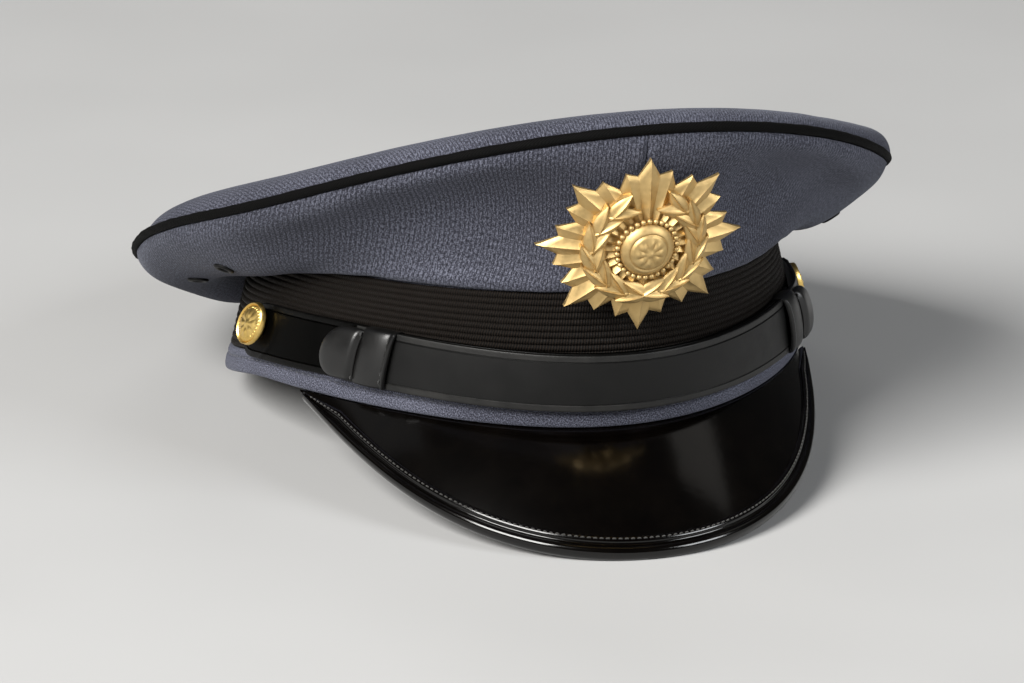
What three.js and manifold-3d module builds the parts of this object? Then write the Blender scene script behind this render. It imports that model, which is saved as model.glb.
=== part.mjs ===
// Peaked cap: a soft cloth crown on a braided head band, with a patent peak, a fastened chin strap,
// two buttons and a front badge. Millimetres, +Z up. The front faces -Y and the wearer's left is +X.
// Places round the head are angles from the front, positive towards the wearer's left.
import * as THREE from 'three';
import { mergeVertices } from 'three/addons/utils/BufferGeometryUtils.js';
import Module from 'manifold-3d';

const wasm = await Module();
wasm.setup();
const { degToRad, lerp, smoothstep } = THREE.MathUtils;

// Driving dimensions
const GAP = 0.3;
// Small turn in radians that gives directions along a curve, and the distance that merges corners
const SMALL_TURN = 1e-4;
const MERGE = 1e-3;
const BAND_STEPS = 36;
const RIM_STEPS = 40;
const BAND = { halfWidth: 90.2, halfLength: 102, egg: 0.17, shiftY: 0 };
// The lower edge arches over each ear and comes down again behind it
const EAR_ARCH = { rise: 6.3, fallFrom: 82, fallTo: 124 };
const SEAM = { halfWidth: 79.2, halfLength: 106, egg: 0.17, shiftY: -7, height: 43.5 };
const RIM = { halfWidth: 118, halfLength: 133.7, egg: 0.11, shiftY: 0 };
// Rim height: its mean, then the cosine terms that lift the front, drop the sides and shape the back
const RIM_TERMS = [59.8, 28.4, 7.6, -1.1];
// The soft rim lifts a little at each side, then falls and draws in behind. The fade is the power of the
// share of the way out from the middle of the top that keeps both near the edge.
const RIM_SIDE = {
  lift: 2.2, liftAt: 84, liftWidth: 16, fall: 8, fallFrom: 92, fallTo: 128, tuck: 1.5, fade: 4,
};
const WALL = { thickness: 1.6, steps: 9, halfSteps: 22, rootLift: 0.45, rootOut: 0.4, flange: 2.4 };
// Section of the crown wall at seven places, 30 degrees apart from front to back: the angle above level
// and the reach with which it leaves the band seam, those with which it meets the rim, and how far the
// soft roll under the rim stands out
const WALL_ROWS = [
  { leave: 70, leaveReach: 16, meet: 62, meetReach: 14, roll: 1 },
  { leave: 90, leaveReach: 14, meet: 35, meetReach: 14, roll: 2.5 },
  { leave: -15, leaveReach: 8, meet: 30, meetReach: 18, roll: 2.5 },
  { leave: -66, leaveReach: 18, meet: 45, meetReach: 7, roll: 1 },
  { leave: -72, leaveReach: 28, meet: 70, meetReach: 10, roll: 1.5 },
  { leave: -68, leaveReach: 54, meet: 95, meetReach: 24, roll: 1.5 },
  { leave: -55, leaveReach: 38, meet: 95, meetReach: 15, roll: 1 },
];
// Power of the share of the way up the wall that puts the roll close under the rim
const ROLL_LATE = 6;
const TOP = { thickness: 1.6, dome: 8.2, fullness: 15, inset: 2, edgeLift: 0.6, spread: 0.987 };
const TOP_STATIONS = [0, 0.35, 0.62, 0.82, 0.93, 0.98, 1];
const PIPING = { radius: 1.5, sides: 6 };
const BAND_CLOTH = { weltHeight: 7.6, weltDepth: 3.2, wallOuter: -1.5, wallSteps: 6, round: 1.2 };
const BRAID = { ribs: 17, back: -1.1, valley: -0.6, crest: -0.1 };
const PEAK = { spread: 77, reach: 45, fullness: 1.27, slope: 48.1, sideSlope: 11.2, thickness: 2.2 };
const PEAK_FORM = { crown: 2, steps: 24, across: 4, tuck: 2.6, rootOut: -0.2, endAngle: 72.8 };
const BINDING = { width: 5, reach: 1.6, endAngle: 71, steps: 24 };
// Shares of its width and reach where the binding crests and rolls over, and its most width on a short peak
const BINDING_SHARE = { crest: 0.2, roll: 0.6, most: 0.6 };
// Heights of the binding off the peak's two faces: at its back edge, at its crest and where it rolls over
const BINDING_OVER = { back: 1.1, crest: 1.25, roll: 0.7 };
const BINDING_UNDER = { back: 0.9, crest: 1.2, roll: 0.7 };
const STRAP = { centre: 16.4, halfWidth: 9.15, thickness: 1.4, under: 1.3, over: 3, bevel: 0.5, steps: 24 };
const STRAP_DROP = { depth: 1.5, from: 58, to: 89 };
const STRAP_SETTLE = { from: 63, to: 83 };
// Sections of a round strap end and of a round tab end, in degrees of the half circle
const STRAP_ROUND = [15, 35, 60];
const TAB_ROUND = [30, 55, 75];
const KEEPER = {
  front: 51.4, width: 12.2, wall: 0.8, back: 0.7, slack: 0.3, pad: 1.2, padShare: 0.6, tabEnd: 66.9,
  strapPast: 4,
};
const TAB = { start: 1, neck: 0.4, neckShare: 0.93, full: 1.4, edge: 0.7, crown: 3, halfWidth: 8.6 };
// Places across the tab, as shares of its half width
const TAB_ACROSS = [-1, -0.6, 0, 0.6, 1];
const BUTTON = { angle: 89, radius: 7.2, sides: 16, seat: 3, lift: 1.6 };
// Half section of a button: shares of its radius, and heights
const BUTTON_PROFILE = [
  [0, 0], [0.72, 0], [0.8, 0.5], [1, 1.1], [1, 1.8], [0.93, 2.4], [0.85, 2], [0.66, 2.9], [0.36, 3.6],
  [0, 3.9],
];
const EYELET = { hole: 1.6, barrel: 2.4, flange: 3.4, sides: 8, standOff: 0.6, lip: 0.6, drill: 12 };
const EYELET_PLACES = { front: { angle: 86, along: 0.515 }, back: { angle: 107, along: 0.49 } };
const BADGE = { halfWidth: 32, halfHeight: 28.5, depth: 4, points: 8, bend: 88 };
// Flutes of one point of the star, from its ridge round to the next: reach as a share of the star's, and
// height of the metal half way out and at the edge
const BADGE_FLUTES = [
  { reach: 1, middle: 3.8, edge: 1.8 },
  { reach: 0.82, middle: 2.6, edge: 1.2 },
  { reach: 0.86, middle: 3.4, edge: 1.7 },
  { reach: 0.72, middle: 2.4, edge: 1.2 },
  { reach: 0.86, middle: 3.4, edge: 1.7 },
  { reach: 0.82, middle: 2.6, edge: 1.2 },
];
const WREATH = {
  leaves: 7, from: 168, to: 30, lean: 22, halfWidth: 16, halfHeight: 15, lift: 3,
  leafWidth: 2.2, leafLength: 5, leafDepth: 1.9,
};
const BOSS = { radius: 8.5, depth: 3.8, lift: 3.6, around: 12, rings: 6 };
const BADGE_POST = { radius: 2, apart: 9, up: 4, length: 5.7, sides: 8 };
const BADGE_PLACE = { y: -125.2, z: 59.7, lean: 19 };
const REST = { tilt: 8.7, lift: 14.75, shiftY: -2.3 };

const CLOTH_COLOUR = 0x4d5163;
const BRAID_COLOUR = 0x14100e;
const LEATHER_COLOUR = 0x0b0b0c;
const GILT_COLOUR = 0xc59a3f;
const ROUGHNESS = { cloth: 0.9, patent: 0.15, leather: 0.4, eyelet: 0.5, gilt: 0.3 };

// Egg-shaped ring, narrower at the front
function oval(ring, angle) {
  const x = ring.halfWidth * Math.sin(angle) * (1 - ring.egg * Math.cos(angle));
  return new THREE.Vector3(x, ring.shiftY - ring.halfLength * Math.cos(angle), 0);
}

function bandBottom(angle) {
  const fall = smoothstep(Math.abs(angle), degToRad(EAR_ARCH.fallFrom), degToRad(EAR_ARCH.fallTo));
  return oval(BAND, angle).setZ(EAR_ARCH.rise * Math.sin(angle) ** 2 * (1 - fall));
}

// Directions on the band at one place: along it, up its slope, and out of its face
function bandFrame(angle) {
  const base = bandBottom(angle);
  const seam = oval(SEAM, angle).setZ(SEAM.height);
  const along = bandBottom(angle + SMALL_TURN).sub(bandBottom(angle - SMALL_TURN)).normalize();
  const rise = seam.sub(base);
  const height = rise.length();
  const up = rise.normalize();
  const out = along.clone().cross(up).normalize();
  return { base, along, up, out, height };
}

// Point on the band: height up its face, and distance out from the face of the welt
function onBand(angle, height, out) {
  const frame = bandFrame(angle);
  return frame.base.addScaledVector(frame.up, height).addScaledVector(frame.out, out);
}

// How far the rim has fallen at one place, from 0 at the sides to 1 behind
function rimFall(angle) {
  return smoothstep(Math.abs(angle), degToRad(RIM_SIDE.fallFrom), degToRad(RIM_SIDE.fallTo));
}

function rimPlan(angle) {
  const edge = oval(RIM, angle);
  return edge.setLength(edge.length() - RIM_SIDE.tuck * rimFall(angle));
}

function rimHeight(angle, spread) {
  const level = RIM_TERMS.reduce((sum, term, k) => sum + term * spread ** k * Math.cos(k * angle), 0);
  const past = (Math.abs(angle) - degToRad(RIM_SIDE.liftAt)) / degToRad(RIM_SIDE.liftWidth);
  const bend = RIM_SIDE.lift * Math.exp(-(past ** 2)) - RIM_SIDE.fall * rimFall(angle);
  return level + bend * spread ** RIM_SIDE.fade;
}

function rimPoint(angle) {
  return rimPlan(angle).setZ(rimHeight(angle, 1));
}

// Value of one column of the wall table at any place, on a smooth curve through its rows that is level at
// the front and at the back
function wallValue(column, angle) {
  const last = WALL_ROWS.length - 1;
  const at = (Math.abs(angle) / Math.PI) * last;
  const start = Math.min(Math.floor(at), last - 1);
  const row = (k) => WALL_ROWS[k > last ? 2 * last - k : Math.abs(k)][column];
  const [before, here, next, after] = [start - 1, start, start + 1, start + 2].map(row);
  const t = at - start;
  const slope = (next - before) / 2;
  const lateSlope = (after - here) / 2;
  const square = 3 * (next - here) - 2 * slope - lateSlope;
  const cube = 2 * (here - next) + slope + lateSlope;
  return here + t * (slope + t * (square + t * cube));
}

// Point on the crown wall: a share of the way up its curve, which goes from the band seam to just under
// the piping, moved out where the cloth rolls under the rim
function wallPoint(angle, along) {
  const height = bandFrame(angle).height;
  const start = onBand(angle, height + WALL.rootLift, WALL.rootOut);
  const end = rimPoint(angle);
  end.z -= PIPING.radius + GAP;
  const outward = end.clone().sub(start).setZ(0).normalize();
  const handle = (origin, degrees, reach) => {
    const slope = degToRad(degrees);
    const point = origin.clone().addScaledVector(outward, reach * Math.cos(slope));
    point.z += reach * Math.sin(slope);
    return point;
  };
  const leave = handle(start, wallValue('leave', angle), wallValue('leaveReach', angle));
  const meet = handle(end, wallValue('meet', angle), -wallValue('meetReach', angle));
  const point = new THREE.CubicBezierCurve3(start, leave, meet, end).getPoint(along);
  const chord = end.clone().sub(start).normalize();
  const roll = wallValue('roll', angle) * Math.sin(Math.PI * along ** ROLL_LATE);
  point.addScaledVector(outward, roll * chord.z);
  point.z -= roll * chord.dot(outward);
  return point;
}

function wallNormal(angle, along) {
  const round = wallPoint(angle + SMALL_TURN, along).sub(wallPoint(angle - SMALL_TURN, along));
  const top = Math.min(along + SMALL_TURN, 1);
  const rise = wallPoint(angle, top).sub(wallPoint(angle, Math.max(along - SMALL_TURN, 0)));
  return round.cross(rise).normalize();
}

// Closed solid from a row of like sections. Each section is a loop: its outer points one way, then its
// inner points back, as many of them, so that an open row is closed by strips at both ends.
function loft(sections, closed) {
  const count = sections[0].length;
  const rows = closed ? sections.length : sections.length - 1;
  const triangles = [];
  for (let i = 0; i < rows; i += 1) {
    const here = i * count;
    const next = ((i + 1) % sections.length) * count;
    for (let k = 0; k < count; k += 1) {
      const j = (k + 1) % count;
      triangles.push([here + k, next + k, next + j], [here + k, next + j, here + j]);
    }
  }
  if (!closed) {
    const last = rows * count;
    for (let k = 0; k < count / 2 - 1; k += 1) {
      const far = count - 1 - k;
      triangles.push([k, k + 1, far - 1], [k, far - 1, far]);
      triangles.push([last + k, last + far - 1, last + k + 1], [last + k, last + far, last + far - 1]);
    }
  }
  const geometry = new THREE.BufferGeometry();
  const numbers = sections.flat().flatMap((point) => point.toArray());
  geometry.setAttribute('position', new THREE.Float32BufferAttribute(numbers, 3));
  geometry.setIndex(triangles.flat());
  return facingOut(geometry);
}

// The same solid with shared corners merged, flat triangles dropped and its faces turned outwards
function facingOut(geometry) {
  geometry.deleteAttribute('normal');
  geometry.deleteAttribute('uv');
  const merged = mergeVertices(geometry, MERGE);
  const corners = merged.getAttribute('position');
  const index = merged.getIndex().array;
  const kept = [];
  const [a, b, c] = [new THREE.Vector3(), new THREE.Vector3(), new THREE.Vector3()];
  let volume = 0;
  for (let i = 0; i < index.length; i += 3) {
    const [p, q, r] = [index[i], index[i + 1], index[i + 2]];
    if (p !== q && q !== r && r !== p) {
      kept.push([p, q, r]);
      a.fromBufferAttribute(corners, p);
      b.fromBufferAttribute(corners, q);
      c.fromBufferAttribute(corners, r);
      volume += a.dot(b.cross(c));
    }
  }
  const turned = volume < 0 ? kept.map(([p, q, r]) => [p, r, q]) : kept;
  merged.setIndex(turned.flat());
  merged.computeVertexNormals();
  return merged;
}

function toSolid(geometry) {
  const clean = facingOut(geometry);
  const vertProperties = new Float32Array(clean.getAttribute('position').array);
  const triVerts = new Uint32Array(clean.getIndex().array);
  return new wasm.Manifold(new wasm.Mesh({ numProp: 3, vertProperties, triVerts }));
}

function fromSolid(solid) {
  const mesh = solid.getMesh();
  const geometry = new THREE.BufferGeometry();
  geometry.setAttribute('position', new THREE.Float32BufferAttribute(mesh.vertProperties, 3));
  geometry.setIndex(Array.from(mesh.triVerts));
  geometry.computeVertexNormals();
  return geometry;
}

function evenSteps(from, to, steps) {
  return Array.from({ length: steps + 1 }, (_, i) => lerp(from, to, i / steps));
}

function evenAngles(from, to, steps) {
  return evenSteps(from, to, steps).map(degToRad);
}

function ringAngles(steps) {
  return evenAngles(-180, 180, steps).slice(0, steps);
}

// Cloth and leather give way where the cap stands on a surface
function pressToFloor(point) {
  const tilt = degToRad(REST.tilt);
  const floor = new THREE.Vector3(0, -Math.sin(tilt), Math.cos(tilt));
  const height = point.dot(floor) + REST.lift;
  return height < 0 ? point.addScaledVector(floor, -height) : point;
}

// Crown
function crownTop() {
  const sections = ringAngles(RIM_STEPS).map((angle) => {
    const edge = rimPlan(angle);
    edge.setLength(edge.length() - TOP.inset);
    const surface = TOP_STATIONS.map((spread) => {
      const point = edge.clone().multiplyScalar(spread);
      const dome = TOP.dome * Math.sqrt(1 - spread ** TOP.fullness);
      return point.setZ(rimHeight(angle, spread) + TOP.edgeLift + dome);
    });
    const lining = surface.map((point) => {
      return new THREE.Vector3(point.x * TOP.spread, point.y * TOP.spread, point.z - TOP.thickness);
    });
    return [...surface, ...lining.reverse()];
  });
  return loft(sections, true);
}

function crownSide(side) {
  const seamTurn = THREE.MathUtils.radToDeg(GAP / 2 / SEAM.halfLength);
  const angles = evenAngles(seamTurn, 180 - seamTurn, WALL.halfSteps);
  const sections = angles.map((turn) => {
    const angle = side * turn;
    const height = bandFrame(angle).height + WALL.rootLift;
    const face = [onBand(angle, height, -WALL.flange)];
    const lining = [onBand(angle, height + WALL.thickness, -WALL.flange)];
    for (let i = 0; i <= WALL.steps; i += 1) {
      const along = i / WALL.steps;
      const point = wallPoint(angle, along);
      face.push(point);
      lining.push(point.clone().addScaledVector(wallNormal(angle, along), -WALL.thickness));
    }
    return [...face, ...lining.reverse()];
  });
  let solid = toSolid(loft(sections, false));
  Object.values(EYELET_PLACES).forEach((place) => {
    const radius = EYELET.barrel + GAP;
    const drill = new THREE.CylinderGeometry(radius, radius, EYELET.drill, EYELET.sides);
    placeOnWall(drill, side, place);
    solid = solid.subtract(toSolid(drill));
  });
  return fromSolid(solid);
}

function crownPiping() {
  const sections = ringAngles(RIM_STEPS).map((angle) => {
    const centre = rimPoint(angle);
    const outward = oval(RIM, angle).normalize();
    return Array.from({ length: PIPING.sides }, (_, k) => {
      const turn = ((k + 0.5) * 2 * Math.PI) / PIPING.sides;
      const point = centre.clone().addScaledVector(outward, PIPING.radius * Math.cos(turn));
      point.z += PIPING.radius * Math.sin(turn);
      return point;
    });
  });
  return loft(sections, true);
}

// An upright shape moved to a place on the crown wall, its axis along the wall's outward normal
function placeOnWall(geometry, side, place) {
  const angle = side * degToRad(place.angle);
  const turn = new THREE.Quaternion();
  turn.setFromUnitVectors(new THREE.Vector3(0, 1, 0), wallNormal(angle, place.along));
  const at = wallPoint(angle, place.along);
  geometry.applyMatrix4(new THREE.Matrix4().compose(at, turn, new THREE.Vector3(1, 1, 1)));
  return geometry;
}

function eyelet(side, place) {
  const { hole, barrel, flange, standOff, lip } = EYELET;
  const inside = -WALL.thickness - standOff;
  const profile = [
    [hole, standOff + lip], [flange - lip, standOff + lip], [flange, standOff], [barrel, standOff],
    [barrel, inside], [flange, inside], [flange, inside - lip], [hole, inside - lip],
    [hole, standOff + lip],
  ];
  const points = profile.map(([radius, height]) => new THREE.Vector2(radius, height));
  return facingOut(placeOnWall(new THREE.LatheGeometry(points, EYELET.sides), side, place));
}

// Band
function bandCloth() {
  const { weltHeight, weltDepth, wallOuter, wallSteps, round } = BAND_CLOTH;
  const sections = ringAngles(BAND_STEPS).map((angle) => {
    const top = bandFrame(angle).height;
    const wall = evenSteps(weltHeight, top, wallSteps).map((height) => [wallOuter, height]);
    const profile = [
      [-weltDepth, round / 2], [round / 2 - weltDepth, 0], [-round, 0], [-round / 4, round / 4],
      [0, round], [0, weltHeight - round], [-round / 3, weltHeight - round / 3],
      [wallOuter + GAP, weltHeight], ...wall, [-weltDepth, top],
    ];
    return profile.map(([out, height]) => pressToFloor(onBand(angle, height, out)));
  });
  return loft(sections, true);
}

function bandBraid() {
  const sections = ringAngles(BAND_STEPS).map((angle) => {
    const bottom = BAND_CLOTH.weltHeight + GAP;
    const top = bandFrame(angle).height - GAP;
    const pitch = (top - bottom) / BRAID.ribs;
    const section = [onBand(angle, bottom, BRAID.back), onBand(angle, bottom, BRAID.valley)];
    for (let rib = 0; rib < BRAID.ribs; rib += 1) {
      section.push(onBand(angle, bottom + (rib + 0.5) * pitch, BRAID.crest));
      section.push(onBand(angle, bottom + (rib + 1) * pitch, BRAID.valley));
    }
    section.push(onBand(angle, top, BRAID.back));
    return section;
  });
  return loft(sections, true);
}

// Peak: directions at one place along it, out and down its slope and square to its face
function peakFrame(angle) {
  const root = onBand(angle, -GAP, PEAK_FORM.rootOut);
  const along = bandFrame(angle).along.setZ(0).normalize();
  const outward = new THREE.Vector3(along.y, -along.x, 0);
  const slope = degToRad(PEAK.slope + PEAK.sideSlope * (1 - Math.cos(angle)));
  const down = outward.clone().multiplyScalar(Math.cos(slope)).setZ(-Math.sin(slope));
  const face = outward.clone().multiplyScalar(Math.sin(slope)).setZ(Math.cos(slope));
  const share = Math.cos((angle / degToRad(PEAK.spread)) * (Math.PI / 2));
  const length = PEAK.reach * share ** PEAK.fullness - BINDING.reach;
  return { root, down, face, length };
}

// Point on the peak: share of the way down its slope, and distance above its face
function onPeak(angle, share, above) {
  const { root, down, face, length } = peakFrame(angle);
  const crown = 4 * PEAK_FORM.crown * share * (1 - share) * (length / PEAK.reach);
  return root.addScaledVector(down, length * share).addScaledVector(face, crown + above);
}

function peak() {
  const { steps, across, tuck, endAngle } = PEAK_FORM;
  const sections = evenAngles(-endAngle, endAngle, steps).map((angle) => {
    const face = [onBand(angle, -GAP, -tuck)];
    const lining = [onBand(angle, -GAP - PEAK.thickness, -tuck - GAP)];
    for (let i = 0; i <= across; i += 1) {
      face.push(onPeak(angle, i / across, 0));
      lining.push(onPeak(angle, i / across, -PEAK.thickness));
    }
    return [...face, ...lining.reverse()];
  });
  return loft(sections, false);
}

function peakBinding() {
  const { width, reach, endAngle, steps } = BINDING;
  const under = -PEAK.thickness;
  const sections = evenAngles(-endAngle, endAngle, steps).map((angle) => {
    const length = peakFrame(angle).length;
    const back = -Math.min(width, length * BINDING_SHARE.most);
    const crest = back * BINDING_SHARE.crest;
    const roll = reach * BINDING_SHARE.roll;
    const outer = [
      [back, BINDING_OVER.back], [crest, BINDING_OVER.crest], [roll, BINDING_OVER.roll], [reach, under / 2],
      [roll, under - BINDING_UNDER.roll], [crest, under - BINDING_UNDER.crest],
      [back, under - BINDING_UNDER.back],
    ];
    const inner = [
      [back, GAP], [crest, GAP], [GAP, GAP], [GAP, under / 2],
      [GAP, under - GAP], [crest, under - GAP], [back, under - GAP],
    ];
    return [...outer, ...inner.reverse()].map(([out, above]) => {
      return pressToFloor(onPeak(angle, 1 + out / length, above));
    });
  });
  return loft(sections, false);
}

// Height of the strap's middle line, which drops a little towards the buttons
function strapCentre(angle) {
  const drop = smoothstep(Math.abs(angle), degToRad(STRAP_DROP.from), degToRad(STRAP_DROP.to));
  return STRAP.centre - STRAP_DROP.depth * drop;
}

// Chin strap: a section of strap at one place, its back face at a distance out from the band
function strapSection(angle, back, halfWidth) {
  const { thickness, bevel } = STRAP;
  const centre = strapCentre(angle);
  const edge = Math.min(2 * bevel, halfWidth / 2);
  const heights = [-halfWidth, edge - halfWidth, halfWidth - edge, halfWidth].map((h) => centre + h);
  const front = heights.map((height, k) => {
    const cut = k === 0 || k === heights.length - 1 ? bevel : 0;
    return onBand(angle, height, back + thickness - cut);
  });
  const rear = heights.map((height) => onBand(angle, height, back));
  return [...front, ...rear.reverse()];
}

// Degrees round the band for a length along it, near one place
function turnFor(length, degrees) {
  const angle = degToRad(degrees);
  const travel = bandBottom(angle + SMALL_TURN).distanceTo(bandBottom(angle - SMALL_TURN));
  return THREE.MathUtils.radToDeg((length / travel) * 2 * SMALL_TURN);
}

// One strap, from its round end at a button to its square end past the other side's keeper
function strap(side, lift) {
  const radius = STRAP.halfWidth;
  const endTurn = turnFor(radius, BUTTON.angle);
  const squareEnd = -KEEPER.front - turnFor(KEEPER.width + KEEPER.strapPast, KEEPER.front);
  const roundEnd = STRAP_ROUND.map((degrees) => {
    const share = degToRad(degrees);
    const place = BUTTON.angle + endTurn * Math.cos(share);
    return strapSection(degToRad(side * place), lift(place), radius * Math.sin(share));
  });
  const body = evenAngles(BUTTON.angle, squareEnd, STRAP.steps).map((angle) => {
    return strapSection(side * angle, lift(THREE.MathUtils.radToDeg(angle)), radius);
  });
  return loft([...roundEnd, ...body], false);
}

// The front strap lies on the other one, and comes down to the band past the keeper at its own side
function strapFront() {
  const { from, to } = STRAP_SETTLE;
  return strap(1, (place) => lerp(STRAP.over, STRAP.under, smoothstep(place, from, to)));
}

function strapUnder() {
  return strap(-1, () => STRAP.under);
}

// Keeper: a loop round both straps, and a half-round tab that points to the button
function keeper(side) {
  const { front, width, wall, back, slack, pad, padShare, tabEnd } = KEEPER;
  const rear = front + turnFor(width, front);
  const half = STRAP.halfWidth + slack;
  const top = STRAP.over + STRAP.thickness + GAP;
  const middle = half * padShare;
  const crest = top + wall + pad;
  const inner = [
    [-half, GAP + back], [half, GAP + back], [half, top], [middle, top], [-middle, top], [-half, top],
  ];
  const outer = [
    [-half - wall, GAP], [half + wall, GAP], [half + wall, top + wall], [middle, crest], [-middle, crest],
    [-half - wall, top + wall],
  ];
  const corner = (degrees, [height, out]) => {
    const angle = degToRad(side * degrees);
    return onBand(angle, strapCentre(angle) + height, out);
  };
  const loop = inner.map((point, k) => {
    return [corner(front, point), corner(front, outer[k]), corner(rear, outer[k]), corner(rear, point)];
  });
  const tabRound = turnFor(TAB.halfWidth, tabEnd);
  const tabSections = [
    tabSection(side, front + TAB.start, 1, top, 0), tabSection(side, rear + TAB.neck, TAB.neckShare, top, 0),
    tabSection(side, rear + TAB.full, 1, top, 1), tabSection(side, tabEnd - tabRound, 1, top, 1),
  ];
  TAB_ROUND.forEach((degrees) => {
    const share = degToRad(degrees);
    const place = tabEnd - tabRound * (1 - Math.sin(share));
    tabSections.push(tabSection(side, place, Math.cos(share), top, Math.cos(share)));
  });
  return fromSolid(toSolid(loft(loop, true)).add(toSolid(loft(tabSections, false))));
}

// Section of the tab: a share of its full width, and how far of its padded crown it has there
function tabSection(side, place, share, back, padded) {
  const angle = degToRad(side * place);
  const half = TAB.halfWidth * share;
  const centre = strapCentre(angle);
  const front = TAB_ACROSS.map((across) => {
    const thickness = TAB.edge + TAB.crown * padded * Math.sqrt(1 - across ** 2);
    return onBand(angle, centre + across * half, back + thickness);
  });
  const rear = TAB_ACROSS.map((across) => onBand(angle, centre + across * half, back));
  return [...front, ...rear.reverse()];
}

// Button: a domed cap with a raised rim
function button() {
  const points = BUTTON_PROFILE.map(([share, height]) => new THREE.Vector2(share * BUTTON.radius, height));
  return facingOut(new THREE.LatheGeometry(points, BUTTON.sides));
}

// Badge: a fluted star with a wreath of leaves round a plain boss, bent to the front of the crown, with a
// post behind at each side that fastens it to the crown wall
function badge() {
  let solid = toSolid(badgeStar());
  [1, -1].forEach((side) => {
    solid = solid.add(toSolid(badgePost(side)));
    for (let k = 0; k < WREATH.leaves; k += 1) {
      solid = solid.add(toSolid(wreathLeaf(side, k)));
    }
  });
  const { radius, depth, lift, around, rings } = BOSS;
  const boss = new THREE.SphereGeometry(radius, around, rings).scale(1, 1, depth / radius);
  boss.translate(0, 0, lift);
  const geometry = fromSolid(solid.add(toSolid(boss)));
  const corners = geometry.getAttribute('position');
  for (let i = 0; i < corners.count; i += 1) {
    corners.setZ(i, corners.getZ(i) - corners.getX(i) ** 2 / (2 * BADGE.bend));
  }
  return facingOut(geometry);
}

function badgeStar() {
  const count = BADGE.points * BADGE_FLUTES.length;
  const sections = Array.from({ length: count }, (_, k) => {
    const flute = BADGE_FLUTES[k % BADGE_FLUTES.length];
    const turn = (k * 2 * Math.PI) / count;
    const x = BADGE.halfWidth * flute.reach * Math.sin(turn);
    const y = BADGE.halfHeight * flute.reach * Math.cos(turn);
    return [
      new THREE.Vector3(0, 0, BADGE.depth), new THREE.Vector3(x / 2, y / 2, flute.middle),
      new THREE.Vector3(x, y, flute.edge), new THREE.Vector3(x, y, 0), new THREE.Vector3(0, 0, 0),
    ];
  });
  return loft(sections, true);
}

function badgePost(side) {
  const { radius, apart, up, length, sides } = BADGE_POST;
  const whole = length + BADGE.depth / 2;
  const post = new THREE.CylinderGeometry(radius, radius, whole, sides).rotateX(Math.PI / 2);
  return post.translate(side * apart, up, whole / 2 - length);
}

// One leaf of the wreath, which climbs from the bottom towards the top at each side
function wreathLeaf(side, k) {
  const turn = degToRad(lerp(WREATH.from, WREATH.to, k / (WREATH.leaves - 1)));
  const lean = degToRad(k % 2 === 0 ? WREATH.lean : -WREATH.lean);
  const leaf = new THREE.OctahedronGeometry(1).scale(WREATH.leafWidth, WREATH.leafLength, WREATH.leafDepth);
  leaf.rotateZ(Math.PI / 2 - turn + lean);
  leaf.translate(WREATH.halfWidth * Math.sin(turn), WREATH.halfHeight * Math.cos(turn), WREATH.lift);
  return leaf.scale(side, 1, 1);
}

// Assembly
function surface(color, roughness, metalness) {
  return new THREE.MeshStandardMaterial({ color, roughness, metalness });
}
const cloth = (colour) => surface(colour, ROUGHNESS.cloth, 0);
const leather = (roughness) => surface(LEATHER_COLOUR, roughness, 0);
const gilt = () => surface(GILT_COLOUR, ROUGHNESS.gilt, 1);

function piece(name, geometry, material) {
  const mesh = new THREE.Mesh(geometry, material);
  mesh.name = name;
  return mesh;
}

const cap = new THREE.Group();
cap.add(piece('crown_top', crownTop(), cloth(CLOTH_COLOUR)));
cap.add(piece('crown_piping', crownPiping(), cloth(BRAID_COLOUR)));
cap.add(piece('band_cloth', bandCloth(), cloth(CLOTH_COLOUR)));
cap.add(piece('band_braid', bandBraid(), cloth(BRAID_COLOUR)));
cap.add(piece('peak', peak(), leather(ROUGHNESS.patent)));
cap.add(piece('peak_binding', peakBinding(), leather(ROUGHNESS.patent)));
cap.add(piece('strap_front', strapFront(), leather(ROUGHNESS.leather)));
cap.add(piece('strap_under', strapUnder(), leather(ROUGHNESS.leather)));

[['right', -1], ['left', 1]].forEach(([word, side]) => {
  cap.add(piece(`crown_side_${word}`, crownSide(side), cloth(CLOTH_COLOUR)));
  cap.add(piece(`keeper_${word}`, keeper(side), leather(ROUGHNESS.leather)));
  const stud = piece(`button_${word}`, button(), gilt());
  const angle = side * degToRad(BUTTON.angle);
  stud.position.copy(onBand(angle, strapCentre(angle) + BUTTON.lift, BUTTON.seat));
  stud.quaternion.setFromUnitVectors(new THREE.Vector3(0, 1, 0), bandFrame(angle).out);
  cap.add(stud);
  Object.entries(EYELET_PLACES).forEach(([row, place]) => {
    cap.add(piece(`eyelet_${word}_${row}`, eyelet(side, place), leather(ROUGHNESS.eyelet)));
  });
});

const badgeMesh = piece('badge', badge(), gilt());
badgeMesh.position.set(0, BADGE_PLACE.y, BADGE_PLACE.z);
badgeMesh.rotation.x = degToRad(90 + BADGE_PLACE.lean);
cap.add(badgeMesh);

// The cap rests on the front of its peak and the back of its band
cap.rotation.x = -degToRad(REST.tilt);
cap.position.set(0, REST.shiftY, REST.lift);
const root = new THREE.Group();
root.add(cap);

export default root;
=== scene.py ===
"""Looks of the peaked cap: cloth, braid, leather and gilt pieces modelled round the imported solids.

Shapes are worked out in the cap's own frame, in millimetres, with the head band level: +Z up, the front to -Y and
the wearer's left to +X. Angles go round the head from the front, positive to the wearer's left. to_row() tilts the
points into the resting pose of the solids, in metres.
"""
import math

import bmesh
import bpy
import numpy as np
from mathutils import Matrix, Vector


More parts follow.
